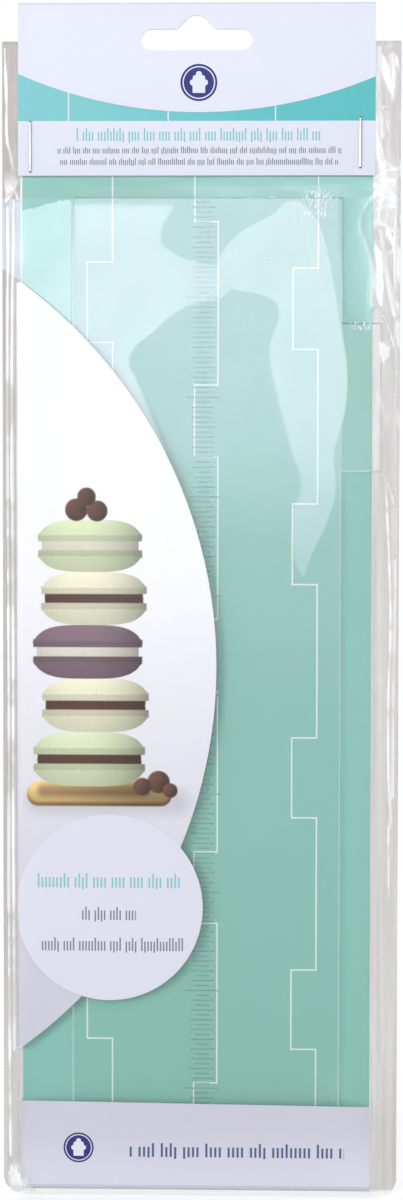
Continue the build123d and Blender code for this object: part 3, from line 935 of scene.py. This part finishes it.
def film_painted_reflection(w, x, z, cloud):
    """How much the film shines with a real gloss, how solid its painted reflection over the plate is and how far its
    painted reflection spreads on the card, each from about 0 to 1: two pale fields with curved edges over the upper
    plate, a soft veil that fades down to its middle, and the painted reflection on the card beside and above the
    plate. The side flap has next to none of it."""
    foot, head = -145.0, -44.0
    left_foot, right_foot, full_from, veil_foot, veil_full = -112.0, -143.0, -60.0, -160.0, -92.0
    left_field_end = (
        (-46.0, -3.0), (-50.5, -6.5), (-56.0, -8.6), (-60.5, -5.0), (-63.0, 3.0), (-66.0, 9.0), (-69.6, 9.0),
        (-73.4, -0.9), (-76.5, -6.5), (-80.4, -10.7), (-84.5, -15.5), (-88.0, -16.9), (-92.0, -15.2), (-100.0, -11.9),
    )
    right_field_start = (
        (-46.3, 22.8), (-49.8, 20.0), (-52.6, 15.1), (-56.0, 9.6), (-59.5, 6.8), (-62.3, 5.4), (-67.1, 5.4),
        (-69.6, 9.6), (-71.2, 17.3), (-74.8, 20.8), (-84.5, 18.4), (-95.0, 20.1), (-108.9, 23.7), (-121.0, 26.6),
        (-124.5, 24.9), (-136.9, 25.1), (-142.5, 27.3),
    )
    right_field_end = (
        (-46.3, 24.2), (-53.3, 31.5), (-62.3, 34.0), (-78.3, 36.8), (-93.6, 38.6), (-105.4, 36.9), (-111.7, 35.2),
        (-119.4, 35.9), (-129.2, 33.5), (-136.2, 30.0), (-141.8, 28.0),
    )
    left_soft, start_soft, end_soft = 1.4, 1.1, 0.6
    left_end = w.curve(z, foot, head, left_field_end, -20.0, 20.0)
    right_start = w.curve(z, foot, head, right_field_start, 0.0, 40.0)
    right_end = w.curve(z, foot, head, right_field_end, 0.0, 40.0)
    left_field = w.product(
        w.past(x, PLATE_LEFT, 0.15), w.past(w.minus(left_end, x), 0, left_soft), w.between(z, left_foot, -47.8, 1.6),
    )
    right_field = w.product(
        w.past(w.minus(x, right_start), 0, start_soft), w.past(w.minus(right_end, x), 0, end_soft),
        w.between(z, right_foot, -47.0, 0.6),
    )
    beside_top = ((-44.7, -49.3), (-42.4, -49.1), (-39.9, -48.2), (-36.8, -47.6), (-34.0, -46.8), (-31.9, -46.7))
    ragged = w.product(w.minus(w.grain(0.9, 1.0, stretch=(1, 1, 0.4)), 0.5), 1.6)
    beside_edge = w.plus(w.curve(x, -45.0, PLATE_LEFT, beside_top, -50.0, -46.0), ragged)
    beside = w.product(
        w.fall(x, PLATE_LEFT - 0.2, PLATE_LEFT), w.past(w.minus(beside_edge, z), 0, 0.3), w.ramp(z, -100.0, -99.0),
        w.ramp(x, CREASE_X - 0.4, CREASE_X),
    )
    strip = w.product(
        w.between(z, PLATE["top"] - 0.2, HEADER["foot"], 0.2), w.ramp(x, -35.0, 25.0, 0.05, 0.36),
        w.ramp(w.strokes(x, z, 0.0, 14.0, 2.5), 0.35, 0.65, 0.55, 1.2),
    )
    beside_tab = w.product(
        w.ramp(x, PLATE_RIGHT, PLATE_RIGHT + 0.4), w.fall(x, CARD_SIDE - 0.4, CARD_SIDE),
        w.fall(z, -46.4, -46.0),
        w.either(
            w.product(w.ramp(z, -84.0, -60.0, 0.05, 0.50), w.ramp(x, 38.0, 44.0, 0.6, 1.25)),
            w.product(w.ramp(x, 42.0, 43.8), w.ramp(z, -84.0, -72.0, 0.0, 0.6), w.fall(z, -62.0, -54.0)),
        ),
    )
    on_plate = w.ramp(x, PLATE_RIGHT - 0.2, PLATE_RIGHT + 0.2, 1.0, 0.08)
    veil = w.product(w.ramp(z, veil_foot, veil_full), on_plate)
    fields = w.either(
        w.product(veil, w.ramp(z, veil_full, full_from, 0.28, 0.36)),
        w.product(left_field, w.ramp(x, -16.0, 4.0, 1.0, 0.70)),
        w.product(right_field, w.ramp(z, right_foot, full_from, 0.62, 0.76)),
    )
    # Painted reflection: how solid the pale tint is over the plate
    right_reflection = w.product(right_field, w.ramp(z, right_foot, full_from, 0.24, 0.38))
    haze_and_painted_reflection = w.either(w.product(veil, 0.22), w.product(left_field, 0.45), right_reflection)
    reach = w.length(w.minus(x, FLAP_CENTRE_X), w.minus(z, FLAP_CENTRE_Z))
    off_flap = w.ramp(reach, FLAP_RADIUS - 0.3, FLAP_RADIUS + 0.6, 0.05, 1.0)
    below_strip = w.fall(z, PLATE["top"] - 0.4, PLATE["top"])
    uneven = w.product(off_flap, w.ramp(cloud, 0.3, 0.7, 0.92, 1.05, smooth=False))
    on_plate_only = w.product(below_strip, uneven)
    # Painted reflection on the card beside and above the plate
    card_reflection = w.either(w.product(w.either(beside, beside_tab), uneven), strip)
    return w.product(fields, on_plate_only), w.product(haze_and_painted_reflection, on_plate_only), card_reflection


def wire_finish():
    """Bright drawn steel wire with fine lines along it, and painted shade on its sides, which face neither forward
    nor back.
    """
    material, w, surface = new_material("staple_steel", (0.6, 0.6, 0.62))
    drawn = w.grain(1.5, 3.0, stretch=(9, 9, 0.6))
    handling = w.use("Handling", Roughness=0.3, Unevenness=0.15)
    dark_line, bright_line, side_shade = (0.70, 0.70, 0.73), (0.88, 0.88, 0.90), (0.09, 0.09, 0.105)
    colour = w.blend(w.ramp(drawn, 0.3, 0.7), dark_line, bright_line)
    # Painted shade on the wire's sides
    colour = w.blend(w.ramp(w.size(w.facing()[1]), 0.75, 0.92), side_shade, colour)
    opaque(w, surface, colour, handling["Roughness"], w.bump(drawn, 0.02 * MM), metallic=1.0)
    return material


def floor_finish(studio):
    """Matt studio floor that is seen as white away from the pack and its shadow."""
    material, w, surface = new_material("studio_floor", studio.floor_colour)
    grain = w.grain(0.08, 4.0)
    made = w.node("ShaderNodeBsdfPrincipled")
    colour = w.shade(studio.floor_colour, w.ramp(grain, 0.0, 1.0, 0.98, 1.02, smooth=False))
    roughness, specular, glow, white_tone = 0.85, 0.2, 0.32, (1, 1, 1)
    w.fill(
        made,
        {"Base Color": colour, "Roughness": roughness, "Specular IOR Level": specular, "Emission Color": white_tone},
    )
    seen = w.seen()
    w.feed(made.inputs["Emission Strength"], w.product(seen, glow))
    white = w.node("ShaderNodeEmission")
    w.fill(white, {"Color": white_tone, "Strength": 1.0})
    x, y = w.place_mm()[:2]
    apart = w.length(x, y)
    near_mm, far_mm = 90.0, 600.0
    w.feed(surface, w.mix_shaders(w.product(seen, w.ramp(apart, near_mm, far_mm)), made, white).outputs[0])
    return material


# Film


FOLD_LINES_MM = (
    ((45.7, -45.3), (44.3, -46.5), (42.9, -48.4), (41.8, -50.8), (41.6, -53.1), (42.1, -55.5), (43.0, -57.8),
     (44.1, -60.7), (44.8, -64.0), (45.1, -68.7), (44.8, -73.5)),
    ((45.5, -43.0), (47.3, -43.7), (49.2, -44.6), (51.1, -46.5)),
    ((45.8, -44.8), (48.0, -45.4), (50.0, -47.2)),
    ((46.2, -49.1), (47.4, -48.6), (49.2, -48.2), (51.4, -48.6)),
    ((46.9, -54.4), (47.9, -60.2), (48.4, -64.9), (49.4, -69.7), (50.6, -75.8)),
    ((46.3, -8.6), (46.1, -20.1), (46.4, -23.0), (47.0, -27.2), (47.3, -30.5)),
    ((-46.9, -295.4), (-46.0, -298.0), (-44.6, -299.8), (-42.4, -300.8)),
    ((49.6, -10.0), (50.4, -16.0), (49.8, -21.5)),
)
CREASE_LINES_MM = (
    ((45.5, -41.2), (47.3, -39.7), (49.2, -39.0), (51.6, -38.7)),
    ((47.4, -23.3), (49.0, -23.7), (51.2, -23.6)),
    ((46.8, -27.7), (46.8, -34.3), (48.3, -37.6), (50.2, -39.0)),
    ((51.2, -55.0), (50.3, -62.6), (51.0, -72.0), (50.8, -84.0), (51.2, -95.0)),
    ((48.6, -50.0), (48.2, -51.6), (49.0, -55.0), (51.3, -54.6)),
    ((-49.0, -8.0), (-48.4, -20.0), (-48.6, -31.4), (-47.6, -34.5), (-46.7, -39.1)),
    ((-48.3, -48.5), (-48.1, -59.1), (-48.3, -77.6), (-48.4, -110.4), (-48.0, -174.5), (-48.2, -226.1),
     (-47.9, -278.1), (-47.7, -293.0)),
    ((-46.7, -46.8), (-46.9, -72.2), (-47.2, -102.7), (-46.8, -148.8), (-46.9, -213.2), (-46.7, -265.1)),
    ((48.4, -117.8), (49.6, -138.2), (50.0, -158.7), (49.3, -174.0), (49.6, -197.1), (50.4, -205.4), (49.4, -207.4),
     (49.8, -225.5)),
    ((51.1, -138.2), (51.0, -158.7), (50.6, -174.0), (50.7, -199.7)),
    ((-48.2, -297.0), (-46.8, -298.6), (-47.4, -300.2)),
    ((-45.9, -298.6), (-44.0, -298.4), (-42.8, -299.6)),
    ((-49.0, -42.0), (-46.2, -43.5), (-45.6, -46.5)),
    ((-48.8, -47.0), (-46.4, -45.2), (-46.0, -41.5)),
    ((47.6, -76.0), (49.4, -79.5), (50.4, -84.0)),
    ((47.7, -116.5), (49.6, -119.0), (50.6, -124.0)),
)
# Each spot's x and z, half its width and height, and its share of the full crumple
CRUMPLED_SPOTS_MM = (
    (48.5, -50.0, 3.4, 12.0, 1.0), (-47.6, -44.3, 2.4, 4.0, 0.6), (-45.2, -298.6, 3.2, 3.2, 1.0),
)


def join_spans(spans):
    """Evenly spaced places in each span, given as start, end and count. Only the last span includes its end."""
    return np.concatenate([np.linspace(*span, endpoint=span is spans[-1]) for span in spans])


def sheet_columns():
    """Places of the film's columns, closer together in the margins."""
    left, right = BAG["left"], BAG["right"]
    inner_left, inner_right = CREASE_X + 1.0, CARD_SIDE - 5.0
    return join_spans(((left, inner_left, 16), (inner_left, inner_right, 76), (inner_right, right, 33)))


def sheet_rows():
    """Heights of the film's rows, closer together where the foot's corners turn and below the header."""
    foot, top = BAG["foot"], BAG["top"]
    corner_top, crumpled_foot, crumpled_top = foot + 5, -100.0, -38.0
    return join_spans(
        (
            (foot, corner_top, 11), (corner_top, crumpled_foot, 204), (crumpled_foot, crumpled_top, 112),
            (crumpled_top, top, 35),
        )
    )


def in_flap(x, z, grow):
    """Where the side flap's D and its disc lie, seen from the front."""
    arc = np.hypot(x - FLAP_CENTRE_X, z - FLAP_CENTRE_Z) < FLAP_RADIUS + grow
    disc = np.hypot(x - DISC_X, z - DISC_Z) < DISC_RADIUS + grow
    beside_crease = (z > SIDE_FLAP["foot"] - grow) & (z < SIDE_FLAP["top"] + grow) & (x > CREASE_X - grow)
    return (arc | disc) & beside_crease


def held_height(x, z):
    """How far forward the wallet and the plate hold the film off the pack's back plane, in millimetres, with
    each moving piece at the end of its travel."""
    slide, room, play = 3.0, 0.12, 0.4
    right_tab_top, left_tab_top, tab_height = -74.4, -99.8, 42.0
    side_slope, foot_slope = math.tan(math.radians(2.05)), math.tan(math.radians(4.6))
    flap_front = -SIDE_FLAP["front"]
    plate_front = -PLATE["front"]
    height = np.where((np.abs(x) < CARD_SIDE) & (z > CARD["foot"]), CARD_MM, 0.0)
    fold = (x > CARD["left"] - 0.2) & (x <= CREASE_X) & (z > SIDE_FLAP["foot"]) & (z < SIDE_FLAP["top"])
    height = np.where(fold, flap_front, height)
    plate = (x > PLATE_LEFT - play) & (x < PLATE_RIGHT + play)
    right_tab = (x > 0) & (x < PLATE["right"] + play) & (z < right_tab_top) & (z > right_tab_top - tab_height)
    left_tab = (x < 0) & (x > PLATE["left"] - play) & (z < left_tab_top) & (z > left_tab_top - tab_height)
    plate = (plate | right_tab | left_tab) & (z < PLATE["top"] + slide + play) & (z > PLATE["foot"])
    height = np.where(plate, np.maximum(height, plate_front), height)
    side = flap_front + side_slope * (x - CREASE_X)
    height = np.where(in_flap(x, z, 0.8), np.maximum(height, side), height)
    band = (np.abs(x) < CARD_SIDE + 0.3) & (z < BOTTOM_FLAP["top"] + 0.8) & (z > CARD["foot"] - 0.2)
    foot = flap_front + foot_slope * np.maximum(z - CREASE_Z, 0)
    return np.where(band, np.maximum(height, foot), height) + room


def draped_height(columns, rows):
    """The film's height over the whole bag: pulled tight over what holds it, shut along its rim and flat
    under the header."""
    x, z = np.meshgrid(columns, rows)
    held = held_height(x, z)
    under_header = (np.abs(x) <= HEADER["right"] + 0.2) & (z >= HEADER["foot"] - 0.15)
    fixed = under_header.copy()
    fixed[0, :] = fixed[:, 0] = fixed[:, -1] = True
    height = np.where(under_header, CARD_MM, held)
    height[0, :] = height[:, 0] = height[:, -1] = 0.0
    held = np.where(fixed, height, held)
    held[:, 0] = held[:, -1] = 0.0
    turns = 900
    weight = (np.diff(columns).mean() / np.diff(rows).mean()) ** 2
    for turn in range(turns):
        padded = np.pad(height, 1, mode="edge")
        sideways = padded[1:-1, :-2] + padded[1:-1, 2:]
        upward = padded[:-2, 1:-1] + padded[2:, 1:-1]
        mean = (sideways + weight * upward) / (2 * (1 + weight))
        height = np.where(fixed, height, np.maximum(mean, held))
    return height


def from_rim(x, z):
    """How far inside the bag's sides and foot a place lies."""
    return np.minimum(np.minimum(x - BAG["left"], BAG["right"] - x), z - BAG["foot"])


def film_sheet(name, columns, rows, height, toward):
    """A sheet over the bag's outline, which keeps clear of the hang slot. toward is -1 for the front film and 1
    for the back one, and sets the way its faces turn. The attributes store how free it is to move: loose for
    folds, slack for slow waves and crumple for its crumpled spots."""
    radius, slot_half, slot_foot = 5.0, 15.6, -10.2
    foot = BAG["foot"]
    x, z = np.meshgrid(columns, rows)
    into_corner = np.clip((foot + radius - rows) / radius, 0, 1)
    inset = radius * (1 - np.sqrt(1 - into_corner**2))
    spread = (x - BAG["left"]) / (BAG["right"] - BAG["left"])
    x = BAG["left"] + inset[:, None] + spread * (BAG["right"] - BAG["left"] - 2 * inset[:, None])
    y = toward * (height + FILM_MM)
    places = np.stack([x, y, z], axis=-1).reshape(-1, 3) * MM
    across = len(columns)
    faces = []
    for row in range(len(rows) - 1):
        for column in range(across - 1):
            middle_x = (x[row, column] + x[row, column + 1]) / 2
            middle_z = (z[row, column] + z[row + 1, column]) / 2
            if abs(middle_x) < slot_half and middle_z > slot_foot:
                continue
            first = row * across + column
            corners = (first, first + 1, first + across + 1, first + across)
            faces.append(corners[::-toward])
    mesh = bpy.data.meshes.new(name)
    mesh.from_pydata(places.tolist(), [], faces)
    pressed = 1.5
    under_header = np.clip((z - (HEADER["foot"] - pressed)) / pressed, 0, 1) * (np.abs(x) < HEADER["right"] + 0.3)
    loose = np.clip(from_rim(x, z), 0, 1) * (1 - under_header)
    card_middle, card_half, ease = 0.2, 44.0, 2.0
    margin = np.clip((np.abs(x - card_middle) - card_half) / ease, 0, 1)
    crumple = np.zeros_like(x)
    for centre_x, centre_z, half_x, half_z, most in CRUMPLED_SPOTS_MM:
        spot = np.exp(-(((x - centre_x) / half_x) ** 4) - ((z - centre_z) / half_z) ** 4)
        crumple = np.maximum(crumple, most * spot)
    values = {
        "loose": loose,
        "slack": loose * (0.10 + 0.90 * margin),
        "crumple": crumple * loose,
    }
    for label, field in values.items():
        stored = mesh.attributes.new(label, "FLOAT", "POINT")
        stored.data.foreach_set("value", field.astype(np.float32).ravel())
    mesh.attributes.new("fold", "FLOAT", "POINT")
    piece = bpy.data.objects.new(name, mesh)
    bpy.context.scene.collection.objects.link(piece)
    cleaner = bmesh.new()
    cleaner.from_mesh(mesh)
    loose_points = [point for point in cleaner.verts if not point.link_faces]
    bmesh.ops.delete(cleaner, geom=loose_points, context="VERTS")
    cleaner.to_mesh(mesh)
    cleaner.free()
    return piece


def line_object(name, lines_mm):
    """Curves on the pack's back plane that folds follow."""
    data = bpy.data.curves.new(name, "CURVE")
    data.dimensions = "3D"
    for line in lines_mm:
        spline = data.splines.new("NURBS")
        spline.points.add(len(line) - 1)
        for point, (x, z) in zip(spline.points, line):
            point.co = (x * MM, 0, z * MM, 1)
        spline.order_u = 3
        spline.use_endpoint_u = True
    made = bpy.data.objects.new(name, data)
    bpy.context.scene.collection.objects.link(made)
    return made


def make_fold_tree():
    """Geometry nodes that raise folds along given lines, with slow waves and crumpled facets between them."""
    tree = bpy.data.node_groups.new("Film folds", "GeometryNodeTree")
    sockets = (
        ("Geometry", "Geometry"), ("Lines", "Object"), ("Fold Height", "Float"), ("Fold Width", "Float"),
        ("Wave Height", "Float"), ("Wave Size", "Float"), ("Crumple Height", "Float"), ("Crumple Size", "Float"),
        ("Toward", "Float"), ("Seed", "Int"), ("Film", "Material"),
    )
    for label, kind in sockets:
        tree.interface.new_socket(label, in_out="INPUT", socket_type="NodeSocket" + kind)
    tree.interface.new_socket("Geometry", in_out="OUTPUT", socket_type="NodeSocketGeometry")
    w = Wiring(tree)
    given = w.node("NodeGroupInput").outputs
    place = w.node("GeometryNodeInputPosition").outputs[0]
    flat = w.vector("MULTIPLY", place, (1, 0, 1))
    lines = w.node("GeometryNodeObjectInfo")
    w.feed(lines.inputs["Object"], given["Lines"])
    wires = w.node("GeometryNodeCurveToMesh")
    w.feed(wires.inputs["Curve"], lines.outputs["Geometry"])
    near = w.node("GeometryNodeProximity", target_element="EDGES")
    w.feed(near.inputs[0], wires.outputs[0])
    w.feed(near.inputs["Sample Position"], flat)

    def attribute(label):
        made = w.node("GeometryNodeInputNamedAttribute", data_type="FLOAT")
        made.inputs["Name"].default_value = label
        return made.outputs[0]

    def store(label, whole, value):
        made = w.node("GeometryNodeStoreNamedAttribute", data_type="FLOAT", domain="POINT")
        w.fill(made, {"Geometry": whole, "Name": label, "Value": value})
        return made.outputs[0]

    def noise(size, detail):
        made = w.node("ShaderNodeTexNoise", noise_dimensions="4D")
        w.fill(made, {"Vector": flat, "W": given["Seed"], "Detail": detail, "Scale": w.over(1.0, size)})
        return made.outputs[0]

    ridge = w.fall(w.over(near.outputs["Distance"], given["Fold Width"]), 0.0, 1.0)
    uneven = w.ramp(noise(given["Wave Size"], 2.0), 0.35, 0.65, 0.5, 1.0)
    fold = w.product(ridge, uneven)
    raised = w.product(fold, given["Fold Height"], attribute("loose"))
    waves = w.product(w.ramp(noise(given["Wave Size"], 3.0), 0.3, 0.7), given["Wave Height"], attribute("slack"))
    cells = w.node("ShaderNodeTexVoronoi", voronoi_dimensions="3D", feature="DISTANCE_TO_EDGE")
    upright_stretch = (1.0, 1.0, 0.55)
    crumple_grid = {
        "Vector": w.vector("MULTIPLY", flat, upright_stretch), "Scale": w.over(1.0, given["Crumple Size"]),
    }
    w.fill(cells, crumple_grid)
    facets = w.ramp(cells.outputs["Distance"], 0.0, 0.35, 1.0, 0.0, smooth=False)
    crumples = w.product(facets, given["Crumple Height"], attribute("crumple"))
    forward = w.plus(w.plus(raised, waves), crumples)
    shift = w.node("ShaderNodeCombineXYZ")
    w.feed(shift.inputs["Y"], w.product(forward, given["Toward"]))
    moved = w.node("GeometryNodeSetPosition")
    w.fill(moved, {"Geometry": given["Geometry"], "Offset": shift.outputs[0]})
    edges = w.fall(cells.outputs["Distance"], 0.02, 0.13)
    folded = w.either(attribute("fold"), fold, w.product(edges, attribute("crumple"), 0.9))
    stored = store("fold", moved.outputs[0], folded)
    patches = w.node("ShaderNodeTexVoronoi", voronoi_dimensions="3D", feature="F1")
    w.fill(patches, crumple_grid)
    stored = store("facet", stored, w.parts(patches.outputs["Color"])[0])
    whole = w.node("GeometryNodeRealizeInstances")
    w.feed(whole.inputs[0], stored)
    painted = w.node("GeometryNodeSetMaterial")
    w.fill(painted, {"Geometry": whole.outputs[0], "Material": given["Film"]})
    w.feed(w.node("NodeGroupOutput").inputs[0], painted.outputs[0])
    return tree


def add_fold_pass(piece, tree, values):
    """Runs the fold tree once over a sheet, with its inputs set by their identifiers."""
    modifier = piece.modifiers.new("folds", "NODES")
    modifier.node_group = tree
    named = {item.name: item.identifier for item in tree.interface.items_tree if item.in_out == "INPUT"}
    for label, value in values.items():
        modifier[named[label]] = value


def plain_mesh(piece):
    """Turns a piece's modifiers into its mesh and removes them."""
    bpy.context.view_layer.update()
    evaluated = piece.evaluated_get(bpy.context.evaluated_depsgraph_get())
    made = bpy.data.meshes.new_from_object(evaluated)
    made.name = piece.name
    piece.modifiers.clear()
    piece.data = made


def make_film(name, replaced, height, toward, film, material):
    """One film of the bag: a draped sheet with folds, as thick as the film."""
    tree = bpy.data.node_groups.get("Film folds") or make_fold_tree()
    piece = film_sheet(name, sheet_columns(), sheet_rows(), height, toward)
    folds = line_object(name + "_fold_lines", FOLD_LINES_MM)
    creases = line_object(name + "_crease_lines", CREASE_LINES_MM)
    fine_waves = 9 * MM
    passes = (
        (folds, film.fold_height, film.fold_width, film.ripple_height, film.ripple_size, film.crumple_height),
        (creases, film.crease_height, film.crease_width, 0.0, fine_waves, 0.0),
    )
    labels = ("Lines", "Fold Height", "Fold Width", "Wave Height", "Wave Size", "Crumple Height")
    for turn, values in enumerate(passes):
        shared = {
            "Toward": float(toward), "Film": material, "Crumple Size": film.crumple_size, "Seed": film.seed + turn,
        }
        add_fold_pass(piece, tree, {**dict(zip(labels, values)), **shared})
    thick = piece.modifiers.new("thickness", "SOLIDIFY")
    thick.thickness = FILM_MM * MM
    thick.offset = -1
    plain_mesh(piece)
    piece.data.shade_smooth()
    for lines in (folds, creases):
        bpy.data.objects.remove(lines)
    if not piece.data.polygons:
        raise RuntimeError(f"{name} came out with no faces")
    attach(piece, "pack")
    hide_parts(replaced)


def dress(node, material):
    """Gives a packed node its finish."""
    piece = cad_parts[node]
    piece.data.materials.clear()
    piece.data.materials.append(material)


# Operators


class PACK_OT_front_film(bpy.types.Operator):
    """Lay the front film over the wallet, with its folds and its painted reflection"""

    bl_idname = "smoother_pack.front_film"
    bl_label = "Front Film"

    def execute(self, context):
        film = context.scene.pack_film
        material = film_finish(film, "front_film_clear", True)
        height = draped_height(sheet_columns(), sheet_rows())
        make_film("film_front", "bag_front", height, -1, film, material)
        return {"FINISHED"}


class PACK_OT_back_film(bpy.types.Operator):
    """Lay the back film against the wallet's back"""

    bl_idname = "smoother_pack.back_film"
    bl_label = "Back Film"

    def execute(self, context):
        film = context.scene.pack_film
        material = film_finish(film, "back_film_clear", False)
        room, ease = 0.07, 1.5
        x, z = np.meshgrid(sheet_columns(), sheet_rows())
        below_header = HEADER["foot"] - 0.3 - z
        height = room * np.clip(from_rim(x, z) / ease, 0, 1) * np.clip(below_header / ease, 0, 1)
        make_film("film_back", "bag_back", height, 1, film, material)
        return {"FINISHED"}


class PACK_OT_header(bpy.types.Operator):
    """Print the header card"""

    bl_idname = "smoother_pack.header"
    bl_label = "Header Card"

    def execute(self, context):
        dress("header_card", header_finish(context.scene.pack_print))
        return {"FINISHED"}


class PACK_OT_wallet(bpy.types.Operator):
    """Print the wallet's back panel and its two flaps"""

    bl_idname = "smoother_pack.wallet"
    bl_label = "Card Wallet"

    def execute(self, context):
        ink = context.scene.pack_print
        dress("wallet_back", insert_finish(ink))
        dress("wallet_side_flap", side_flap_finish(ink))
        dress("wallet_bottom_flap", bottom_flap_finish(ink))
        return {"FINISHED"}


class PACK_OT_plate(bpy.types.Operator):
    """Give the moulded plate its clear plastic"""

    bl_idname = "smoother_pack.plate"
    bl_label = "Clear Plate"

    def execute(self, context):
        dress("smoother", plate_finish(context.scene.pack_plate))
        return {"FINISHED"}


class PACK_OT_staples(bpy.types.Operator):
    """Give both staples their bright wire"""

    bl_idname = "smoother_pack.staples"
    bl_label = "Staples"

    def execute(self, context):
        wire = wire_finish()
        for node in ("staple_left", "staple_right"):
            dress(node, wire)
        return {"FINISHED"}


def add_lamp(name, place, aim, width, height, power):
    data = bpy.data.lights.new(name, "AREA")
    data.shape = "RECTANGLE"
    data.size = width
    data.size_y = height
    data.energy = power
    lamp = bpy.data.objects.new(name, data)
    lamp.location = place
    lamp.rotation_euler = (Vector(aim) - Vector(place)).to_track_quat("-Z", "Y").to_euler()
    bpy.context.scene.collection.objects.link(lamp)


class PACK_OT_stage(bpy.types.Operator):
    """Set the floor, the room's light, the lamps and the camera"""

    bl_idname = "smoother_pack.stage"
    bl_label = "Studio"

    def execute(self, context):
        scene = context.scene
        studio = scene.pack_studio
        scene.view_settings.view_transform = "Standard"
        self.add_floor(scene, studio)
        self.add_room(scene, studio)
        middle, mirrored = (0, 0, -0.15), (-0.035, 0, -0.015)
        lamps = (
            ("key_lamp", (-0.85, -1.05, 0.12), middle, 0.5, 0.5, studio.key_power),
            ("front_lamp", (-0.035, -1.35, -0.015), mirrored, 0.36, 0.47, studio.front_power),
            ("back_lamp", (0.7, 1.2, 0.5), middle, 0.9, 0.9, studio.back_power),
        )
        for lamp in lamps:
            add_lamp(*lamp)
        self.add_camera(scene)
        return {"FINISHED"}

    def add_floor(self, scene, studio):
        """A wide floor just under the pack's foot."""
        half = studio.floor_size / 2
        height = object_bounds()[0][2] - 0.1 * MM
        mesh = bpy.data.meshes.new("floor")
        builder = bmesh.new()
        bmesh.ops.create_grid(builder, x_segments=8, y_segments=8, size=half)
        builder.to_mesh(mesh)
        builder.free()
        mesh.transform(Matrix.Translation((0, 0, height)))
        floor = bpy.data.objects.new("floor", mesh)
        scene.collection.objects.link(floor)
        mesh.materials.append(floor_finish(studio))
        floor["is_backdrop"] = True

    def add_room(self, scene, studio):
        """White all round to the eye and in what is mirrored, and softer as light."""
        world = bpy.data.worlds.new("room")
        scene.world = world
        world.use_nodes = True
        world.node_tree.nodes.clear()
        w = Wiring(world.node_tree)
        light = w.node("ShaderNodeBackground")
        strength = w.ramp(w.seen(), 0.0, 1.0, studio.room_light, 1.0, smooth=False)
        w.fill(light, {"Color": (1, 1, 1), "Strength": strength})
        w.feed(w.node("ShaderNodeOutputWorld").inputs["Surface"], light.outputs[0])

    def add_camera(self, scene):
        """A long lens a little to the right of the pack, tilted slightly down."""
        aim, distance = Vector((1.446, 0.0, -148.754)) * MM, 0.8
        yaw, pitch, roll = (math.radians(angle) for angle in (1.960, 2.965, 0.09))
        sight = Vector((-math.sin(yaw) * math.cos(pitch), math.cos(yaw) * math.cos(pitch), -math.sin(pitch)))
        level = sight.cross(Vector((0, 0, 1))).normalized()
        upward = level.cross(sight)
        right = level * math.cos(roll) + upward * math.sin(roll)
        top = upward * math.cos(roll) - level * math.sin(roll)
        lens_in_picture_heights = 3117.6 / 1200
        data = bpy.data.cameras.new("camera")
        data.sensor_width = 36.0
        data.lens = lens_in_picture_heights * data.sensor_width
        data.clip_start = 0.01
        camera = bpy.data.objects.new("camera", data)
        turn = Matrix((right, top, -sight)).transposed()
        camera.matrix_world = Matrix.Translation(aim - sight * distance) @ turn.to_4x4()
        scene.collection.objects.link(camera)
        scene.camera = camera


OPERATORS = (
    PACK_OT_stage, PACK_OT_header, PACK_OT_wallet, PACK_OT_plate, PACK_OT_staples, PACK_OT_back_film,
    PACK_OT_front_film,
)
SETTINGS = (
    ("pack_film", FilmSettings), ("pack_print", PrintSettings), ("pack_plate", PlateSettings),
    ("pack_studio", StudioSettings),
)


class PACK_PT_maker(bpy.types.Panel):
    """Lists the pieces and their settings"""

    bl_label = "Smoother Pack"
    bl_idname = "PACK_PT_maker"
    bl_space_type = "VIEW_3D"
    bl_region_type = "UI"
    bl_category = "Smoother Pack"

    def draw(self, context):
        for operator in OPERATORS:
            self.layout.operator(operator.bl_idname)
        for label, group in SETTINGS:
            box = self.layout.box()
            box.label(text=group.__doc__)
            settings = getattr(context.scene, label)
            for name in group.__annotations__:
                box.prop(settings, name)


def register():
    for label, group in SETTINGS:
        bpy.utils.register_class(group)
        setattr(bpy.types.Scene, label, PointerProperty(type=group))
    for operator in OPERATORS:
        bpy.utils.register_class(operator)
    bpy.utils.register_class(PACK_PT_maker)


def unregister():
    bpy.utils.unregister_class(PACK_PT_maker)
    for operator in reversed(OPERATORS):
        bpy.utils.unregister_class(operator)
    for label, group in reversed(SETTINGS):
        delattr(bpy.types.Scene, label)
        bpy.utils.unregister_class(group)


def main():
    register()
    bpy.ops.smoother_pack.stage()
    bpy.ops.smoother_pack.header()
    bpy.ops.smoother_pack.wallet()
    bpy.ops.smoother_pack.plate()
    bpy.ops.smoother_pack.staples()
    bpy.ops.smoother_pack.back_film()
    bpy.ops.smoother_pack.front_film()


if __name__ == "__main__":
    main()
